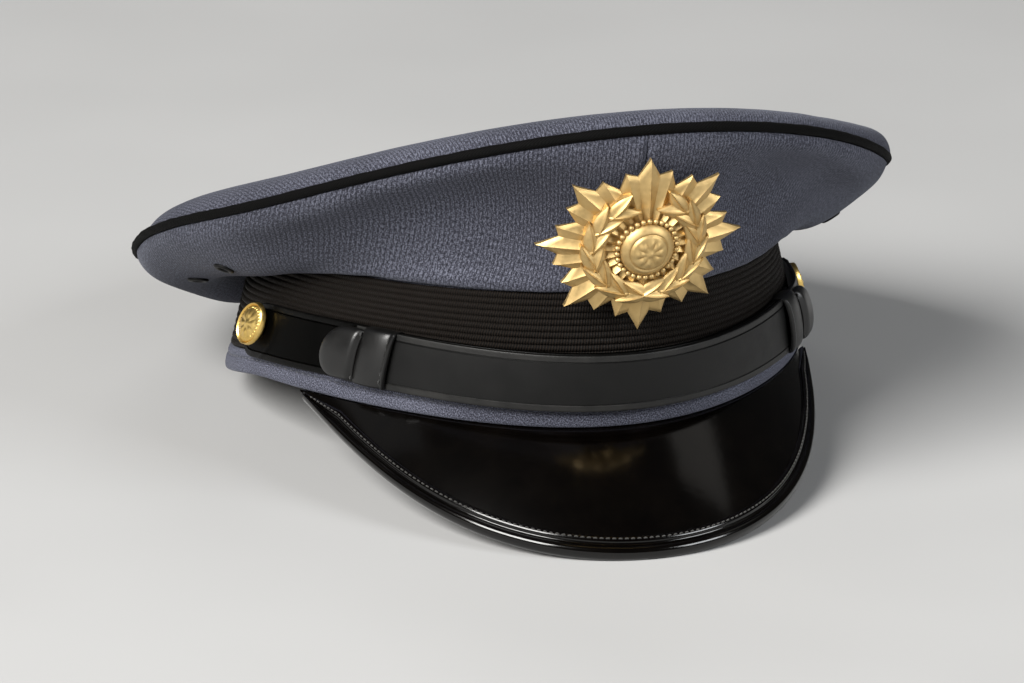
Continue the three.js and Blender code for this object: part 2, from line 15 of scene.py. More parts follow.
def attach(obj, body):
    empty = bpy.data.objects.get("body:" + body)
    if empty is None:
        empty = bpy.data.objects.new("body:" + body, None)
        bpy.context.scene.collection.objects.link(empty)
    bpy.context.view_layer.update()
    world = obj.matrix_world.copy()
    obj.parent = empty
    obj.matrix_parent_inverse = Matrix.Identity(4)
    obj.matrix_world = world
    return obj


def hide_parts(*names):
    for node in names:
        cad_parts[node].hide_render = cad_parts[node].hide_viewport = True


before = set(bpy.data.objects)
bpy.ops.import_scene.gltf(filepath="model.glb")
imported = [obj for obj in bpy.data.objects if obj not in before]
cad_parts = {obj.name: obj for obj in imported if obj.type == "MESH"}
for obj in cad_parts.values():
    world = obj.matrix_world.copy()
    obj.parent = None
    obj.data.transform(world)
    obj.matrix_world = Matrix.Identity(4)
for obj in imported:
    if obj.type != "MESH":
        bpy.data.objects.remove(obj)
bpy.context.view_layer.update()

# Driving dimensions of the cap, the same as those of the solids
GAP = 0.3
BAND = dict(half_width=90.2, half_length=102.0, egg=0.17, shift_y=0.0)
SEAM = dict(half_width=79.2, half_length=106.0, egg=0.17, shift_y=-7.0)
RIM = dict(half_width=118.0, half_length=133.7, egg=0.11, shift_y=0.0)
SEAM_HEIGHT = 43.5
EAR_ARCH = dict(rise=6.3, fall_from=82.0, fall_to=124.0)
RIM_TERMS = (59.8, 28.4, 7.6, -1.1)
# The soft rim lifts a little at each side, then falls and draws in behind
RIM_SIDE = dict(lift=2.2, lift_at=84.0, lift_width=16.0, fall=8.0, fall_from=92.0, fall_to=128.0, tuck=1.5, fade=4.0)
REST = dict(tilt=8.7, lift=14.75, shift_y=-2.3)

# Crown wall at seven places, 30 degrees apart from front to back: the angle above level and the reach with which it
# leaves the band seam, those with which it meets the rim, and how far the soft roll under the rim stands out
WALL_ROWS = (
    (70, 16, 62, 14, 1.0),
    (90, 24, 18, 14, 3.5),
    (45, 19, 20, 18, 3.5),
    (-66, 18, 45, 7, 1.0),
    (-72, 28, 70, 10, 1.5),
    (-68, 54, 95, 24, 1.5),
    (-55, 38, 95, 15, 1.0),
)
ROLL_LATE = 4.0
# The cloth hangs over the band seam a little
OVERHANG = dict(out=1.2, at=3.0, width=3.0)
WALL = dict(thickness=1.6, root_lift=0.45, root_out=0.4, around=150, across=44)
# The two halves of the wall meet in a stitched seam, in front and behind
WALL_SEAM = dict(dip=0.7, width=0.8, swell=0.35, swell_at=3.2, swell_width=1.8)
# Cloth puckers where it is sewn to the piping and to the band
PUCKER = dict(depth=0.16, pitch=7.5, fade=6.0)
GRAIN = dict(root=124.0, turn=0.5, start=0.0)

TOP = dict(thickness=1.6, dome=8.2, fullness=15.0, inset=2.0, edge_lift=0.6, spread=0.987, around=260, across=46)
# Slack of the top panel, and how much fuller it is over the wearer's left side, where it hangs over the piping
TOP_SLACK = dict(depth=0.7, waves=2, phase=210.0, front_sink=0.8)
TOP_FULLER = dict(rise=0.15, out=3.2, at=72.0, width=20.0, square=1.2)
PIPING = dict(radius=1.5, around=480, sides=14, wobble=0.05)

WELT = dict(height=7.6, depth=3.2, round=1.2, groove_at=4.9, groove_depth=0.5, around=520)
WALL_OUTER = -1.5
BRAID = dict(ribs=17, back=-1.1, valley=-0.75, crest=0.0, rib_points=6, around=470)

PEAK = dict(spread=77.0, reach=45.0, fullness=1.27, slope=48.1, side_slope=11.2, thickness=2.2)
PEAK_FORM = dict(crown=1.0, tuck=2.6, root_out=-0.2, end=72.8, around=220, across=40)
BINDING = dict(reach=1.6, width=5.6, end=71.0, around=300, share=0.62)

STRAP = dict(centre=16.4, half_width=9.15, thickness=1.4, under=1.3, over=3.0, around=240)
STRAP_DROP = dict(depth=1.5, start=58.0, end=89.0)
STRAP_SETTLE = dict(start=63.0, end=83.0)
# The rounded face of a strap is pressed flat towards its button
STRAP_FLAT = dict(start=55.0, end=70.0, most=0.85, thickness=1.16)
KEEPER = dict(front=51.4, width=12.2, back=0.7, slack=0.1, side_share=0.2, tab_end=66.9, tab_radius=8.55, strap_past=4.0)
BUTTON = dict(angle=89.0, radius=7.2)
BUTTON_SEAT = dict(right=3.7, left=2.7)
# The button of the wearer's right sits a little higher on its strap and leans to the front
BUTTON_LIFT = dict(right=1.6, left=-0.6)
BUTTON_LEAN = dict(right=7.0, left=0.0)
EYELET = dict(hole=1.6, barrel=2.4, flange=3.4, stand_off=0.05, lip=0.8, drill=12.0)
# Angle and share of the way up the wall, for each eyelet of a side
EYELET_PLACES = dict(front=(86, 0.515), back=(107, 0.49))
BADGE = dict(half_width=32.0, half_height=28.5, depth=4.0, points=8, bend=88.0)
BADGE_PLACE = dict(y=-125.2, z=59.7, lean=19.0)
BADGE_POST = dict(radius=2.0, apart=9.0, up=4.0, length=6.0)

SMALL_TURN = 1e-3
SIDES = dict(right=-1, left=1)
RANDOM = np.random.default_rng(11)


# Plain sums
def smoothstep(value, low, high):
    share = np.clip((value - low) / (high - low), 0, 1)
    return share * share * (3 - 2 * share)


def unit(vectors):
    return vectors / np.linalg.norm(vectors, axis=-1, keepdims=True)


def mix(low, high, share):
    return low + (high - low) * share


def bell(value, width):
    return np.exp(-((value / width) ** 2))


def xyz(x, y, z):
    return np.stack(np.broadcast_arrays(x, y, z), -1).astype(float)


def along_rows(points):
    """Length run along the first axis of a grid of points."""
    steps = np.linalg.norm(np.diff(points, axis=0), axis=-1)
    return np.concatenate([np.zeros_like(steps[:1]), np.cumsum(steps, 0)])


def along_columns(points):
    return np.swapaxes(along_rows(np.swapaxes(points, 0, 1)), 0, 1)


def closed(rows):
    return np.concatenate([rows, rows[:1]])


def ring_angles(count):
    return np.linspace(-np.pi, np.pi, count, endpoint=False)


def curve_through(padded, places):
    """Values on a smooth curve through rows that have one more row at each end, at places counted in rows."""
    start = np.clip(places.astype(int), 0, len(padded) - 4)
    t = (places - start)[..., None]
    p0, p1, p2, p3 = (padded[start + k] for k in range(4))
    slope, late_slope = (p2 - p0) / 2, (p3 - p1) / 2
    square = 3 * (p2 - p1) - 2 * slope - late_slope
    cube = 2 * (p1 - p2) + slope + late_slope
    return p1 + t * (slope + t * (square + t * cube))


def smooth_path(points, count):
    """Even points on a smooth curve through a few given ones."""
    points = np.array(points, float)
    padded = np.concatenate([2 * points[:1] - points[1:2], points, 2 * points[-1:] - points[-2:-1]])
    return curve_through(padded, np.linspace(0, len(points) - 1, count))


# Shapes of the cap, as in the solids
def to_row(points):
    tilt = math.radians(REST["tilt"])
    x, y, z = np.moveaxis(points, -1, 0)
    row_y = y * math.cos(tilt) + z * math.sin(tilt) + REST["shift_y"]
    row_z = z * math.cos(tilt) - y * math.sin(tilt) + REST["lift"]
    return xyz(x, row_y, row_z) / 1000


def oval(ring, angle):
    x = ring["half_width"] * np.sin(angle) * (1 - ring["egg"] * np.cos(angle))
    return xyz(x, ring["shift_y"] - ring["half_length"] * np.cos(angle), 0)


def band_bottom(angle):
    fall = smoothstep(np.abs(angle), math.radians(EAR_ARCH["fall_from"]), math.radians(EAR_ARCH["fall_to"]))
    points = oval(BAND, angle)
    points[..., 2] = EAR_ARCH["rise"] * np.sin(angle) ** 2 * (1 - fall)
    return points


def band_frame(angle):
    """Base point, directions along the band, up its slope and out of its face, and the slope's height."""
    base = band_bottom(angle)
    seam = oval(SEAM, angle)
    seam[..., 2] = SEAM_HEIGHT
    along = unit(band_bottom(angle + SMALL_TURN) - band_bottom(angle - SMALL_TURN))
    height = np.linalg.norm(seam - base, axis=-1)
    up = unit(seam - base)
    return base, along, up, unit(np.cross(along, up)), height


def band_height(angle):
    return band_frame(np.asarray(angle, float))[4]


def on_band(angle, height, out):
    angle, height, out = np.broadcast_arrays(np.asarray(angle, float), height, out)
    base, _, up, face, _ = band_frame(angle)
    return base + up * height[..., None] + face * out[..., None]


def rim_fall(angle):
    return smoothstep(np.degrees(np.abs(angle)), RIM_SIDE["fall_from"], RIM_SIDE["fall_to"])


def rim_plan(angle):
    points = oval(RIM, angle)
    return points - unit(points) * (RIM_SIDE["tuck"] * rim_fall(angle))[..., None]


def rim_height(angle, spread):
    level = sum(term * spread**k * np.cos(k * angle) for k, term in enumerate(RIM_TERMS))
    lift = RIM_SIDE["lift"] * bell(np.degrees(np.abs(angle)) - RIM_SIDE["lift_at"], RIM_SIDE["lift_width"])
    return level + (lift - RIM_SIDE["fall"] * rim_fall(angle)) * spread ** RIM_SIDE["fade"]


def rim_point(angle):
    points = rim_plan(angle)
    points[..., 2] = rim_height(angle, 1.0)
    return points


def wall_values(angle):
    """The columns of the wall table at any angle, on smooth curves through its rows, alike on both sides."""
    rows = np.array(WALL_ROWS, float)
    padded = np.concatenate([rows[1:2], rows, rows[-2:-1]])
    return np.moveaxis(curve_through(padded, np.abs(angle) / np.pi * (len(rows) - 1)), -1, 0)


def wall_point(angle, share):
    angle, share = np.broadcast_arrays(np.asarray(angle, float), share)
    start = on_band(angle, band_height(angle) + WALL["root_lift"], WALL["root_out"])
    end = rim_point(angle)
    end[..., 2] -= PIPING["radius"] + GAP
    outward = unit((end - start) * (1, 1, 0))
    leave, leave_reach, meet, meet_reach, roll = wall_values(angle)

    def handle(origin, degrees, reach):
        slope = np.radians(degrees)
        lifted = origin + outward * (reach * np.cos(slope))[..., None]
        lifted[..., 2] += reach * np.sin(slope)
        return lifted

    first = handle(start, leave, leave_reach)
    last = handle(end, meet, -meet_reach)
    run = np.linalg.norm((end - start)[..., :2], axis=-1, keepdims=True)
    rise = (end - start)[..., 2:]
    out_down = (rise * outward - run * np.array([0.0, 0.0, 1.0])) / np.hypot(run, rise)
    swell = out_down * (roll * np.sin(np.pi * np.clip(share, 0, 1) ** ROLL_LATE))[..., None]
    t = share[..., None]
    return swell + start * (1 - t) ** 3 + 3 * first * t * (1 - t) ** 2 + 3 * last * t**2 * (1 - t) + end * t**3


def wall_normal(angle, share):
    round_ = wall_point(angle + SMALL_TURN, share) - wall_point(angle - SMALL_TURN, share)
    rise = wall_point(angle, share + SMALL_TURN) - wall_point(angle, share - SMALL_TURN)
    return unit(np.cross(round_, rise))


def peak_frame(angle):
    root = on_band(angle, -GAP, PEAK_FORM["root_out"])
    along = unit(band_frame(angle)[1] * (1, 1, 0))
    slope = np.radians(PEAK["slope"] + PEAK["side_slope"] * (1 - np.cos(angle)))
    ox, oy = along[..., 1], -along[..., 0]
    down = xyz(ox * np.cos(slope), oy * np.cos(slope), -np.sin(slope))
    face = xyz(ox * np.sin(slope), oy * np.sin(slope), np.cos(slope))
    share = np.cos(angle / math.radians(PEAK["spread"]) * np.pi / 2)
    length = PEAK["reach"] * share ** PEAK["fullness"] - BINDING["reach"]
    return root, down, face, length


def on_peak(angle, share, above):
    angle, share, above = np.broadcast_arrays(np.asarray(angle, float), share, above)
    root, down, face, length = peak_frame(angle)
    crown = 4 * PEAK_FORM["crown"] * share * (1 - share) * length / PEAK["reach"]
    return root + down * (length * share)[..., None] + face * (crown + above)[..., None]


def strap_centre(angle):
    start, end = math.radians(STRAP_DROP["start"]), math.radians(STRAP_DROP["end"])
    return STRAP["centre"] - STRAP_DROP["depth"] * smoothstep(np.abs(angle), start, end)


def turn_for(length, degrees):
    """Degrees round the band for a length along it, near one place."""
    angle = np.array(math.radians(degrees))
    travel = np.linalg.norm(band_bottom(angle + SMALL_TURN) - band_bottom(angle - SMALL_TURN))
    return math.degrees(length / travel * 2 * SMALL_TURN)


# Meshes from grids of points
class Quads:
    """Corners, faces, thread coordinates and material numbers of one piece, gathered from several grids."""

    def __init__(self):
        self.points, self.faces, self.threads, self.kinds = [], [], [], []
        self.count = 0

    def corners(self, points):
        flat = points.reshape(-1, 3)
        index = np.arange(len(flat)).reshape(points.shape[:-1]) + self.count
        self.points.append(flat)
        self.count += len(flat)
        return index

    def strip(self, here, there, thread_here, thread_there, kind=0):
        """Faces between two like rows of corners, or between two grids shifted by one row."""
        quads = np.stack([here[..., :-1], here[..., 1:], there[..., 1:], there[..., :-1]], -1)
        threads = np.stack(
            [thread_here[..., :-1, :], thread_here[..., 1:, :], thread_there[..., 1:, :], thread_there[..., :-1, :]], -2
        )
        self.faces.append(quads.reshape(-1, 4))
        self.threads.append(threads.reshape(-1, 4, 2))
        self.kinds.append(np.full(len(self.faces[-1]), kind))

    def sheet(self, points, threads, wrap=False, kind=0):
        index = self.corners(points)
        rows = closed(index) if wrap else index
        self.strip(rows[:-1], rows[1:], threads[:-1], threads[1:], kind)
        return rows

    def shell(self, outer, inner, threads, wrap=False, inner_kind=0):
        """A closed solid between two like grids. A wrapped one has one more row of threads than of points."""
        top = self.sheet(outer, threads, wrap)
        under = self.sheet(inner, threads, wrap, inner_kind)
        edges = [(top[:, 0], under[:, 0], threads[:, 0]), (top[:, -1], under[:, -1], threads[:, -1])]
        if not wrap:
            edges += [(top[0], under[0], threads[0]), (top[-1], under[-1], threads[-1])]
        for upper, lower, thread in edges:
            self.strip(upper, lower, thread, thread)

    def loft(self, sections, threads, wrap=False):
        """A closed solid through loops of points. Threads have one more column, and one more row if wrapped."""
        index = self.corners(sections)
        rows = closed(index) if wrap else index
        rows = np.concatenate([rows, rows[:, :1]], 1)
        self.strip(rows[:-1], rows[1:], threads[:-1], threads[1:])
        if not wrap:
            half = sections.shape[1] // 2
            for row, thread in ((index[0], threads[0]), (index[-1], threads[-1])):
                self.strip(row[:half], row[::-1][:half], thread[:half], thread[:half])

    def build(self, name, materials, sharp=40):
        mesh = bpy.data.meshes.new(name)
        points = to_row(np.concatenate(self.points))
        points[:, 2] = np.maximum(points[:, 2], 0)
        mesh.from_pydata(points.tolist(), [], np.concatenate(self.faces).tolist())
        layer = mesh.uv_layers.new(name="thread")
        layer.data.foreach_set("uv", np.concatenate(self.threads).astype(np.float32).reshape(-1))
        mesh.polygons.foreach_set("material_index", np.concatenate(self.kinds).astype(np.int32))
        for material in materials:
            mesh.materials.append(material)
        tidy = bmesh.new()
        tidy.from_mesh(mesh)
        bmesh.ops.remove_doubles(tidy, verts=tidy.verts, dist=1e-6)
        bmesh.ops.dissolve_degenerate(tidy, edges=tidy.edges, dist=1e-7)
        bmesh.ops.recalc_face_normals(tidy, faces=tidy.faces)
        tidy.to_mesh(mesh)
        tidy.free()
        mesh.shade_smooth()
        mesh.set_sharp_from_angle(angle=math.radians(sharp))
        piece = bpy.data.objects.new(name, mesh)
        bpy.context.scene.collection.objects.link(piece)
        return piece


def settle(piece, slot, *nodes):
    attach(piece, "root")
    if nodes:
        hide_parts(*nodes)
    return piece


def grid_threads(points, wrap=False):
    """Thread coordinates in millimetres: length along the rows, and across them."""
    full = closed(points) if wrap else points
    middle = along_rows(full)[:, full.shape[1] // 2]
    across = along_columns(full)
    return np.stack([np.broadcast_to(middle[:, None], across.shape), across], -1)


def loop_threads(sections, wrap=False):
    return grid_threads(np.concatenate([sections, sections[:, :1]], 1), wrap)


STITCH_ENDS = np.linspace(0, 1, 7)
STITCH_SIDES = 6


def add_stitches(quads, starts, ends, normals, radius, sink=0.35):
    """Rows of rounded stitches, each from a start to an end, partly sunk in what they are sewn to."""
    along = unit(ends - starts)
    across = np.cross(along, normals)
    turn = np.linspace(0, 2 * np.pi, STITCH_SIDES, endpoint=False)
    for start, end, normal, side in zip(starts, ends, normals, across):
        t = STITCH_ENDS[:, None, None]
        arch = np.sin(np.pi * t)
        centre = mix(start, end, t) + normal * radius * (arch - 1 - sink * (1 - arch))
        girth = radius * np.sqrt(np.clip(1 - (2 * t - 1) ** 6, 0, 1))
        spoke = np.cos(turn)[None, :, None] * normal + np.sin(turn)[None, :, None] * side
        section = centre + girth * spoke
        quads.loft(section, loop_threads(section))


# Materials
def node(tree, kind, sockets=None, **settings):
    made = tree.nodes.new(kind)
    for key, value in settings.items():
        setattr(made, key, value)
    for key, value in (sockets or {}).items():
        if isinstance(value, bpy.types.NodeSocket):
            tree.links.new(value, made.inputs[key])
        else:
            made.inputs[key].default_value = value
    return made


def new_material(name, sockets):
    made = bpy.data.materials.new(name)
    made.use_nodes = True
    shader = made.node_tree.nodes["Principled BSDF"]
    for key, value in sockets.items():
        shader.inputs[key].default_value = value
    return made, made.node_tree, shader


def thread_place(tree, scale, turn=0.0):
    """Thread coordinates, turned and then scaled: the scale is in repeats for each millimetre."""
    place = node(tree, "ShaderNodeUVMap", uv_map="thread").outputs["UV"]
    return node(
        tree, "ShaderNodeMapping", {"Vector": place, "Rotation": (0, 0, math.radians(turn)), "Scale": scale}
    ).outputs["Vector"]


def object_place(tree):
    return node(tree, "ShaderNodeTexCoord").outputs["Object"]


def noise(tree, place, scale=1.0, detail=2.0, roughness=0.5):
    sockets = {"Vector": place, "Scale": scale, "Detail": detail, "Roughness": roughness}
    return node(tree, "ShaderNodeTexNoise", sockets).outputs["Fac"]


def maths(tree, operation, first, second):
    return node(tree, "ShaderNodeMath", {0: first, 1: second}, operation=operation).outputs[0]


def weigh(tree, parts):
    """Sum of several values, each times its weight."""
    total = None
    for value, weight in parts:
        part = maths(tree, "MULTIPLY", value, weight)
        total = part if total is None else maths(tree, "ADD", total, part)
    return total


def ramp(tree, value, stops):
    made = node(tree, "ShaderNodeValToRGB", {"Fac": value})
    ends = made.color_ramp.elements
    for k, (place, colour) in enumerate(stops):
        stop = ends[k] if k < 2 else ends.new(place)
        stop.position = place
        stop.color = (*colour, 1)
    return made.outputs["Color"]


def spread(tree, value, low, high, to_low, to_high):
    sockets = {"Value": value, "From Min": low, "From Max": high, "To Min": to_low, "To Max": to_high}
    return node(tree, "ShaderNodeMapRange", sockets).outputs["Result"]


def set_bump(tree, shader, height, strength, distance):
    sockets = {"Height": height, "Strength": strength, "Distance": distance}
    tree.links.new(node(tree, "ShaderNodeBump", sockets).outputs["Normal"], shader.inputs["Normal"])


def cloth_material(name, turn, light, thread_grain, fibre_grain, lines):
    """Heathered wool: flecks of lighter and darker thread, specks, thin dark lines and slow cloudy variation."""
    made, tree, shader = new_material(name, {
        "Roughness": 0.92, "Specular IOR Level": 0.15, "Sheen Weight": 0.08, "Sheen Roughness": 0.45,
        "Sheen Tint": (0.8, 0.85, 1.0, 1),
    })
    thread = noise(tree, thread_place(tree, (*thread_grain, 1), turn), 1.0, 1.0, 0.5)
    fibre = noise(tree, thread_place(tree, (*fibre_grain, 1), turn), 1.0, 2.0, 0.6)
    weft = noise(tree, thread_place(tree, (1.1, 3.2, 1), turn), 1.0, 2.0, 0.6)
    cloud = noise(tree, object_place(tree), 22.0, 2.0, 0.5)
    wave = node(tree, "ShaderNodeTexWave", {
        "Vector": thread_place(tree, (1, 0.05, 1), turn), "Scale": 0.3, "Distortion": 0.25, "Detail": 1.0,
    }).outputs["Fac"]
    rib = maths(tree, "POWER", wave, 0.25)
    tone = weigh(tree, [(thread, 0.38), (fibre, 0.42), (weft, 0.1), (cloud, 0.1), (rib, lines)])
    middle = 0.5 + lines * 0.8
    colours = [
        (middle - 0.08, (0.02, 0.0205, 0.029)), (middle + 0.08, (0.17, 0.178, 0.229)),
        (middle - 0.02, (0.053, 0.055, 0.075)), (middle + 0.02, (0.08, 0.083, 0.109)),
    ]
    stops = [(place, tuple(c * light for c in colour)) for place, colour in colours]
    tree.links.new(ramp(tree, tone, stops), shader.inputs["Base Color"])
    set_bump(tree, shader, weigh(tree, [(thread, 0.4), (fibre, 0.6)]), 0.14, 0.0003)
    return made


def braid_material():
    """Ribbed braid: close cross threads over each rib, brownish black."""
    made, tree, shader = new_material("ribbed_braid", {
        "Specular IOR Level": 0.12, "Sheen Weight": 0.015, "Sheen Roughness": 0.4, "Sheen Tint": (0.9, 0.8, 0.7, 1),
    })
    beads = node(tree, "ShaderNodeTexWave", {
        "Vector": thread_place(tree, (1, 0.3, 1), 8.0), "Scale": 0.36, "Distortion": 1.2, "Detail": 1.0, "Detail Scale": 0.6,
    }).outputs["Fac"]
    fibre = noise(tree, thread_place(tree, (1.2, 2.4, 1)), 1.0, 2.0, 0.6)
    tone = weigh(tree, [(beads, 0.5), (fibre, 0.5)])
    stops = [(0.25, (0.0006, 0.0004, 0.0003)), (0.8, (0.0115, 0.0078, 0.0054)), (0.5, (0.003, 0.002, 0.0014))]
    tree.links.new(ramp(tree, tone, stops), shader.inputs["Base Color"])
    tree.links.new(spread(tree, fibre, 0.3, 0.7, 0.55, 0.85), shader.inputs["Roughness"])
    set_bump(tree, shader, tone, 0.9, 0.0005)
    return made


def piping_material():
    made, tree, shader = new_material("piping_cloth", {
        "Specular IOR Level": 0.06, "Sheen Weight": 0.005, "Sheen Roughness": 0.4,
    })
    twill = node(tree, "ShaderNodeTexWave", {
        "Vector": thread_place(tree, (1, 1, 1), 55.0), "Scale": 0.5, "Distortion": 0.8, "Detail": 1.0,
    }).outputs["Fac"]
    fibre = noise(tree, thread_place(tree, (1.5, 1.5, 1)), 1.0, 2.0, 0.6)
    tone = weigh(tree, [(twill, 0.5), (fibre, 0.5)])
    stops = [(0.3, (0.0006, 0.0006, 0.0006)), (0.75, (0.004, 0.0039, 0.0038))]
    tree.links.new(ramp(tree, tone, stops), shader.inputs["Base Color"])
    tree.links.new(spread(tree, fibre, 0.3, 0.7, 0.7, 0.9), shader.inputs["Roughness"])
    set_bump(tree, shader, tone, 0.5, 0.0003)
    return made


def patent_material():
    """Patent leather: a hard clear coat over black, with a slow ripple, dust-fine specks and faint rubbed patches."""
    made, tree, shader = new_material("patent_leather", {
        "Specular IOR Level": 0.05, "Coat Weight": 0.9, "Coat Roughness": 0.14, "Coat IOR": 1.48,
    })
    slow, quick = noise(tree, object_place(tree), 38.0, 2.0, 0.5), noise(tree, object_place(tree), 110.0, 2.0, 0.5)
    ripple = weigh(tree, [(slow, 0.65), (quick, 0.35)])
    rub = noise(tree, object_place(tree), 95.0, 4.0, 0.6)
    stops = [(0.35, (0.0005, 0.0003, 0.0002)), (0.75, (0.0014, 0.001, 0.0007))]
    tree.links.new(ramp(tree, rub, stops), shader.inputs["Base Color"])
    tree.links.new(spread(tree, rub, 0.35, 0.75, 0.06, 0.16), shader.inputs["Roughness"])
    set_bump(tree, shader, ripple, 0.4, 0.002)
    return made


def leather_material(name, colours, rough, grain, grain_depth, gloss=0.4):
    """Dressed leather: fine pebbled grain, uneven polish and colour."""
    made, tree, shader = new_material(name, {
        "Specular IOR Level": gloss, "Coat Weight": gloss * 0.2, "Coat Roughness": 0.15,
    })
    pebble = node(tree, "ShaderNodeTexVoronoi", {"Vector": object_place(tree), "Scale": grain}).outputs["Distance"]
    polish = noise(tree, object_place(tree), 120.0, 4.0, 0.6)
    stops = [(0.3, colours[0]), (0.75, colours[1])]
    tree.links.new(ramp(tree, polish, stops), shader.inputs["Base Color"])
    tree.links.new(spread(tree, polish, 0.3, 0.7, rough[0], rough[1]), shader.inputs["Roughness"])
    set_bump(tree, shader, weigh(tree, [(pebble, 0.6), (polish, 0.4)]), 0.25, grain_depth)
    return made


def gilt_material(name, rough, tints):
    """Gilt metal: satin, with uneven tarnish."""
    made, tree, shader = new_material(name, {"Metallic": 1.0})
    satin = noise(tree, object_place(tree), 700.0, 3.0, 0.6)
    tarnish = noise(tree, object_place(tree), 90.0, 3.0, 0.6)
    stops = [(0.3, tints[0]), (0.7, tints[1])]
    tree.links.new(ramp(tree, weigh(tree, [(tarnish, 0.6), (satin, 0.4)]), stops), shader.inputs["Base Color"])
    tree.links.new(spread(tree, satin, 0.3, 0.7, rough[0], rough[1]), shader.inputs["Roughness"])
    set_bump(tree, shader, satin, 0.12, 0.0003)
    return made


def thread_material(name, low, high):
    made, tree, shader = new_material(name, {"Specular IOR Level": 0.3, "Sheen Weight": 0.2})
    twist = node(tree, "ShaderNodeTexWave", {
        "Vector": thread_place(tree, (1, 1, 1), 40.0), "Scale": 1.2, "Distortion": 0.5,
    }).outputs["Fac"]
    tree.links.new(ramp(tree, twist, [(0.2, low), (0.9, high)]), shader.inputs["Base Color"])
    tree.links.new(spread(tree, twist, 0.0, 1.0, 0.75, 0.55), shader.inputs["Roughness"])
    set_bump(tree, shader, twist, 0.4, 0.0002)
    return made


def japan_material():
    made, tree, shader = new_material("black_japan", {"Specular IOR Level": 0.2})
    wear = noise(tree, object_place(tree), 420.0, 3.0, 0.6)
    stops = [(0.45, (0.001, 0.001, 0.001)), (0.72, (0.004, 0.0037, 0.0034))]
    tree.links.new(ramp(tree, wear, stops), shader.inputs["Base Color"])
    tree.links.new(spread(tree, wear, 0.3, 0.7, 0.4, 0.6), shader.inputs["Roughness"])
    set_bump(tree, shader, wear, 0.1, 0.0003)
    return made


CLOTH = cloth_material("heather_cloth", 0.0, 0.665, (3.4, 0.8), (2.8, 2.6), 0.1)
WELT_CLOTH = cloth_material("heather_cloth_bias", 40.0, 0.82, (2.3, 1.9), (2.6, 2.4), 0.01)
LINING = cloth_material("crown_lining", 20.0, 0.2, (4.0, 0.7), (5.6, 4.2), 0.05)
BRAID_CLOTH = braid_material()
PIPING_CLOTH = piping_material()
PATENT = patent_material()
STRAP_LEATHER = leather_material(
    "strap_leather", ((0.0006, 0.0006, 0.0005), (0.0016, 0.0015, 0.0013)), (0.46, 0.56), 2600.0, 0.0001, 0.27
)
STRAP_EDGE = leather_material(
    "strap_edge_leather", ((0.003, 0.003, 0.0028), (0.012, 0.0115, 0.0105)), (0.45, 0.6), 1400.0, 0.0003, 0.36
)
# Darker, barely glossy copies of the strap leathers for the under strap: painted shade, standing in for the dark
# surroundings it mirrors
UNDER_STRAP_PAINTED_SHADE = leather_material(
    "under_strap_painted_shade", ((0.0004, 0.0004, 0.0003), (0.001, 0.0009, 0.0008)), (0.3, 0.42), 2600.0, 0.0001, 0.03
)
UNDER_EDGE_PAINTED_SHADE = leather_material(
    "under_strap_edge_painted_shade", ((0.0005, 0.0005, 0.0004), (0.0016, 0.0015, 0.0013)), (0.3, 0.42), 1800.0, 0.0002, 0.1
)
KEEPER_LEATHER = leather_material(
    "keeper_leather", ((0.0014, 0.0014, 0.0013), (0.0045, 0.0043, 0.004)), (0.36, 0.46), 2200.0, 0.0001, 0.5
)
SWEATBAND = leather_material("sweatband_leather", ((0.05, 0.026, 0.014), (0.085, 0.046, 0.026)), (0.45, 0.6), 1500.0, 0.0003)
PEAK_LINING = leather_material("peak_lining", ((0.010, 0.010, 0.009), (0.02, 0.019, 0.017)), (0.5, 0.7), 1200.0, 0.0003)
GILT = gilt_material("satin_gilt", (0.46, 0.58), ((0.48, 0.33, 0.135), (0.63, 0.46, 0.215)))
BUTTON_GILT = gilt_material("bright_gilt", (0.3, 0.42), ((0.74, 0.48, 0.12), (0.95, 0.69, 0.24)))
PEAK_THREAD = thread_material("peak_thread", (0.014, 0.014, 0.013), (0.05, 0.047, 0.042))
BLACK_THREAD = thread_material("black_thread", (0.008, 0.008, 0.008), (0.035, 0.035, 0.034))
BLUE_THREAD = thread_material("blue_thread", (0.025, 0.027, 0.038), (0.07, 0.074, 0.097))
JAPAN = japan_material()


# Crown
def pucker(angle, distance):
    """Depth of the little gathers at a sewn edge, at a distance from it in millimetres."""
    turns = 2 * np.pi * 110.0 / PUCKER["pitch"]
    gather = np.sin(angle * round(turns / (2 * np.pi)) * 1.0 + 1.7 * np.sin(angle * 9)) + 0.5 * np.sin(angle * 41 + 1)
    return PUCKER["depth"] * gather * np.exp(-distance / PUCKER["fade"])


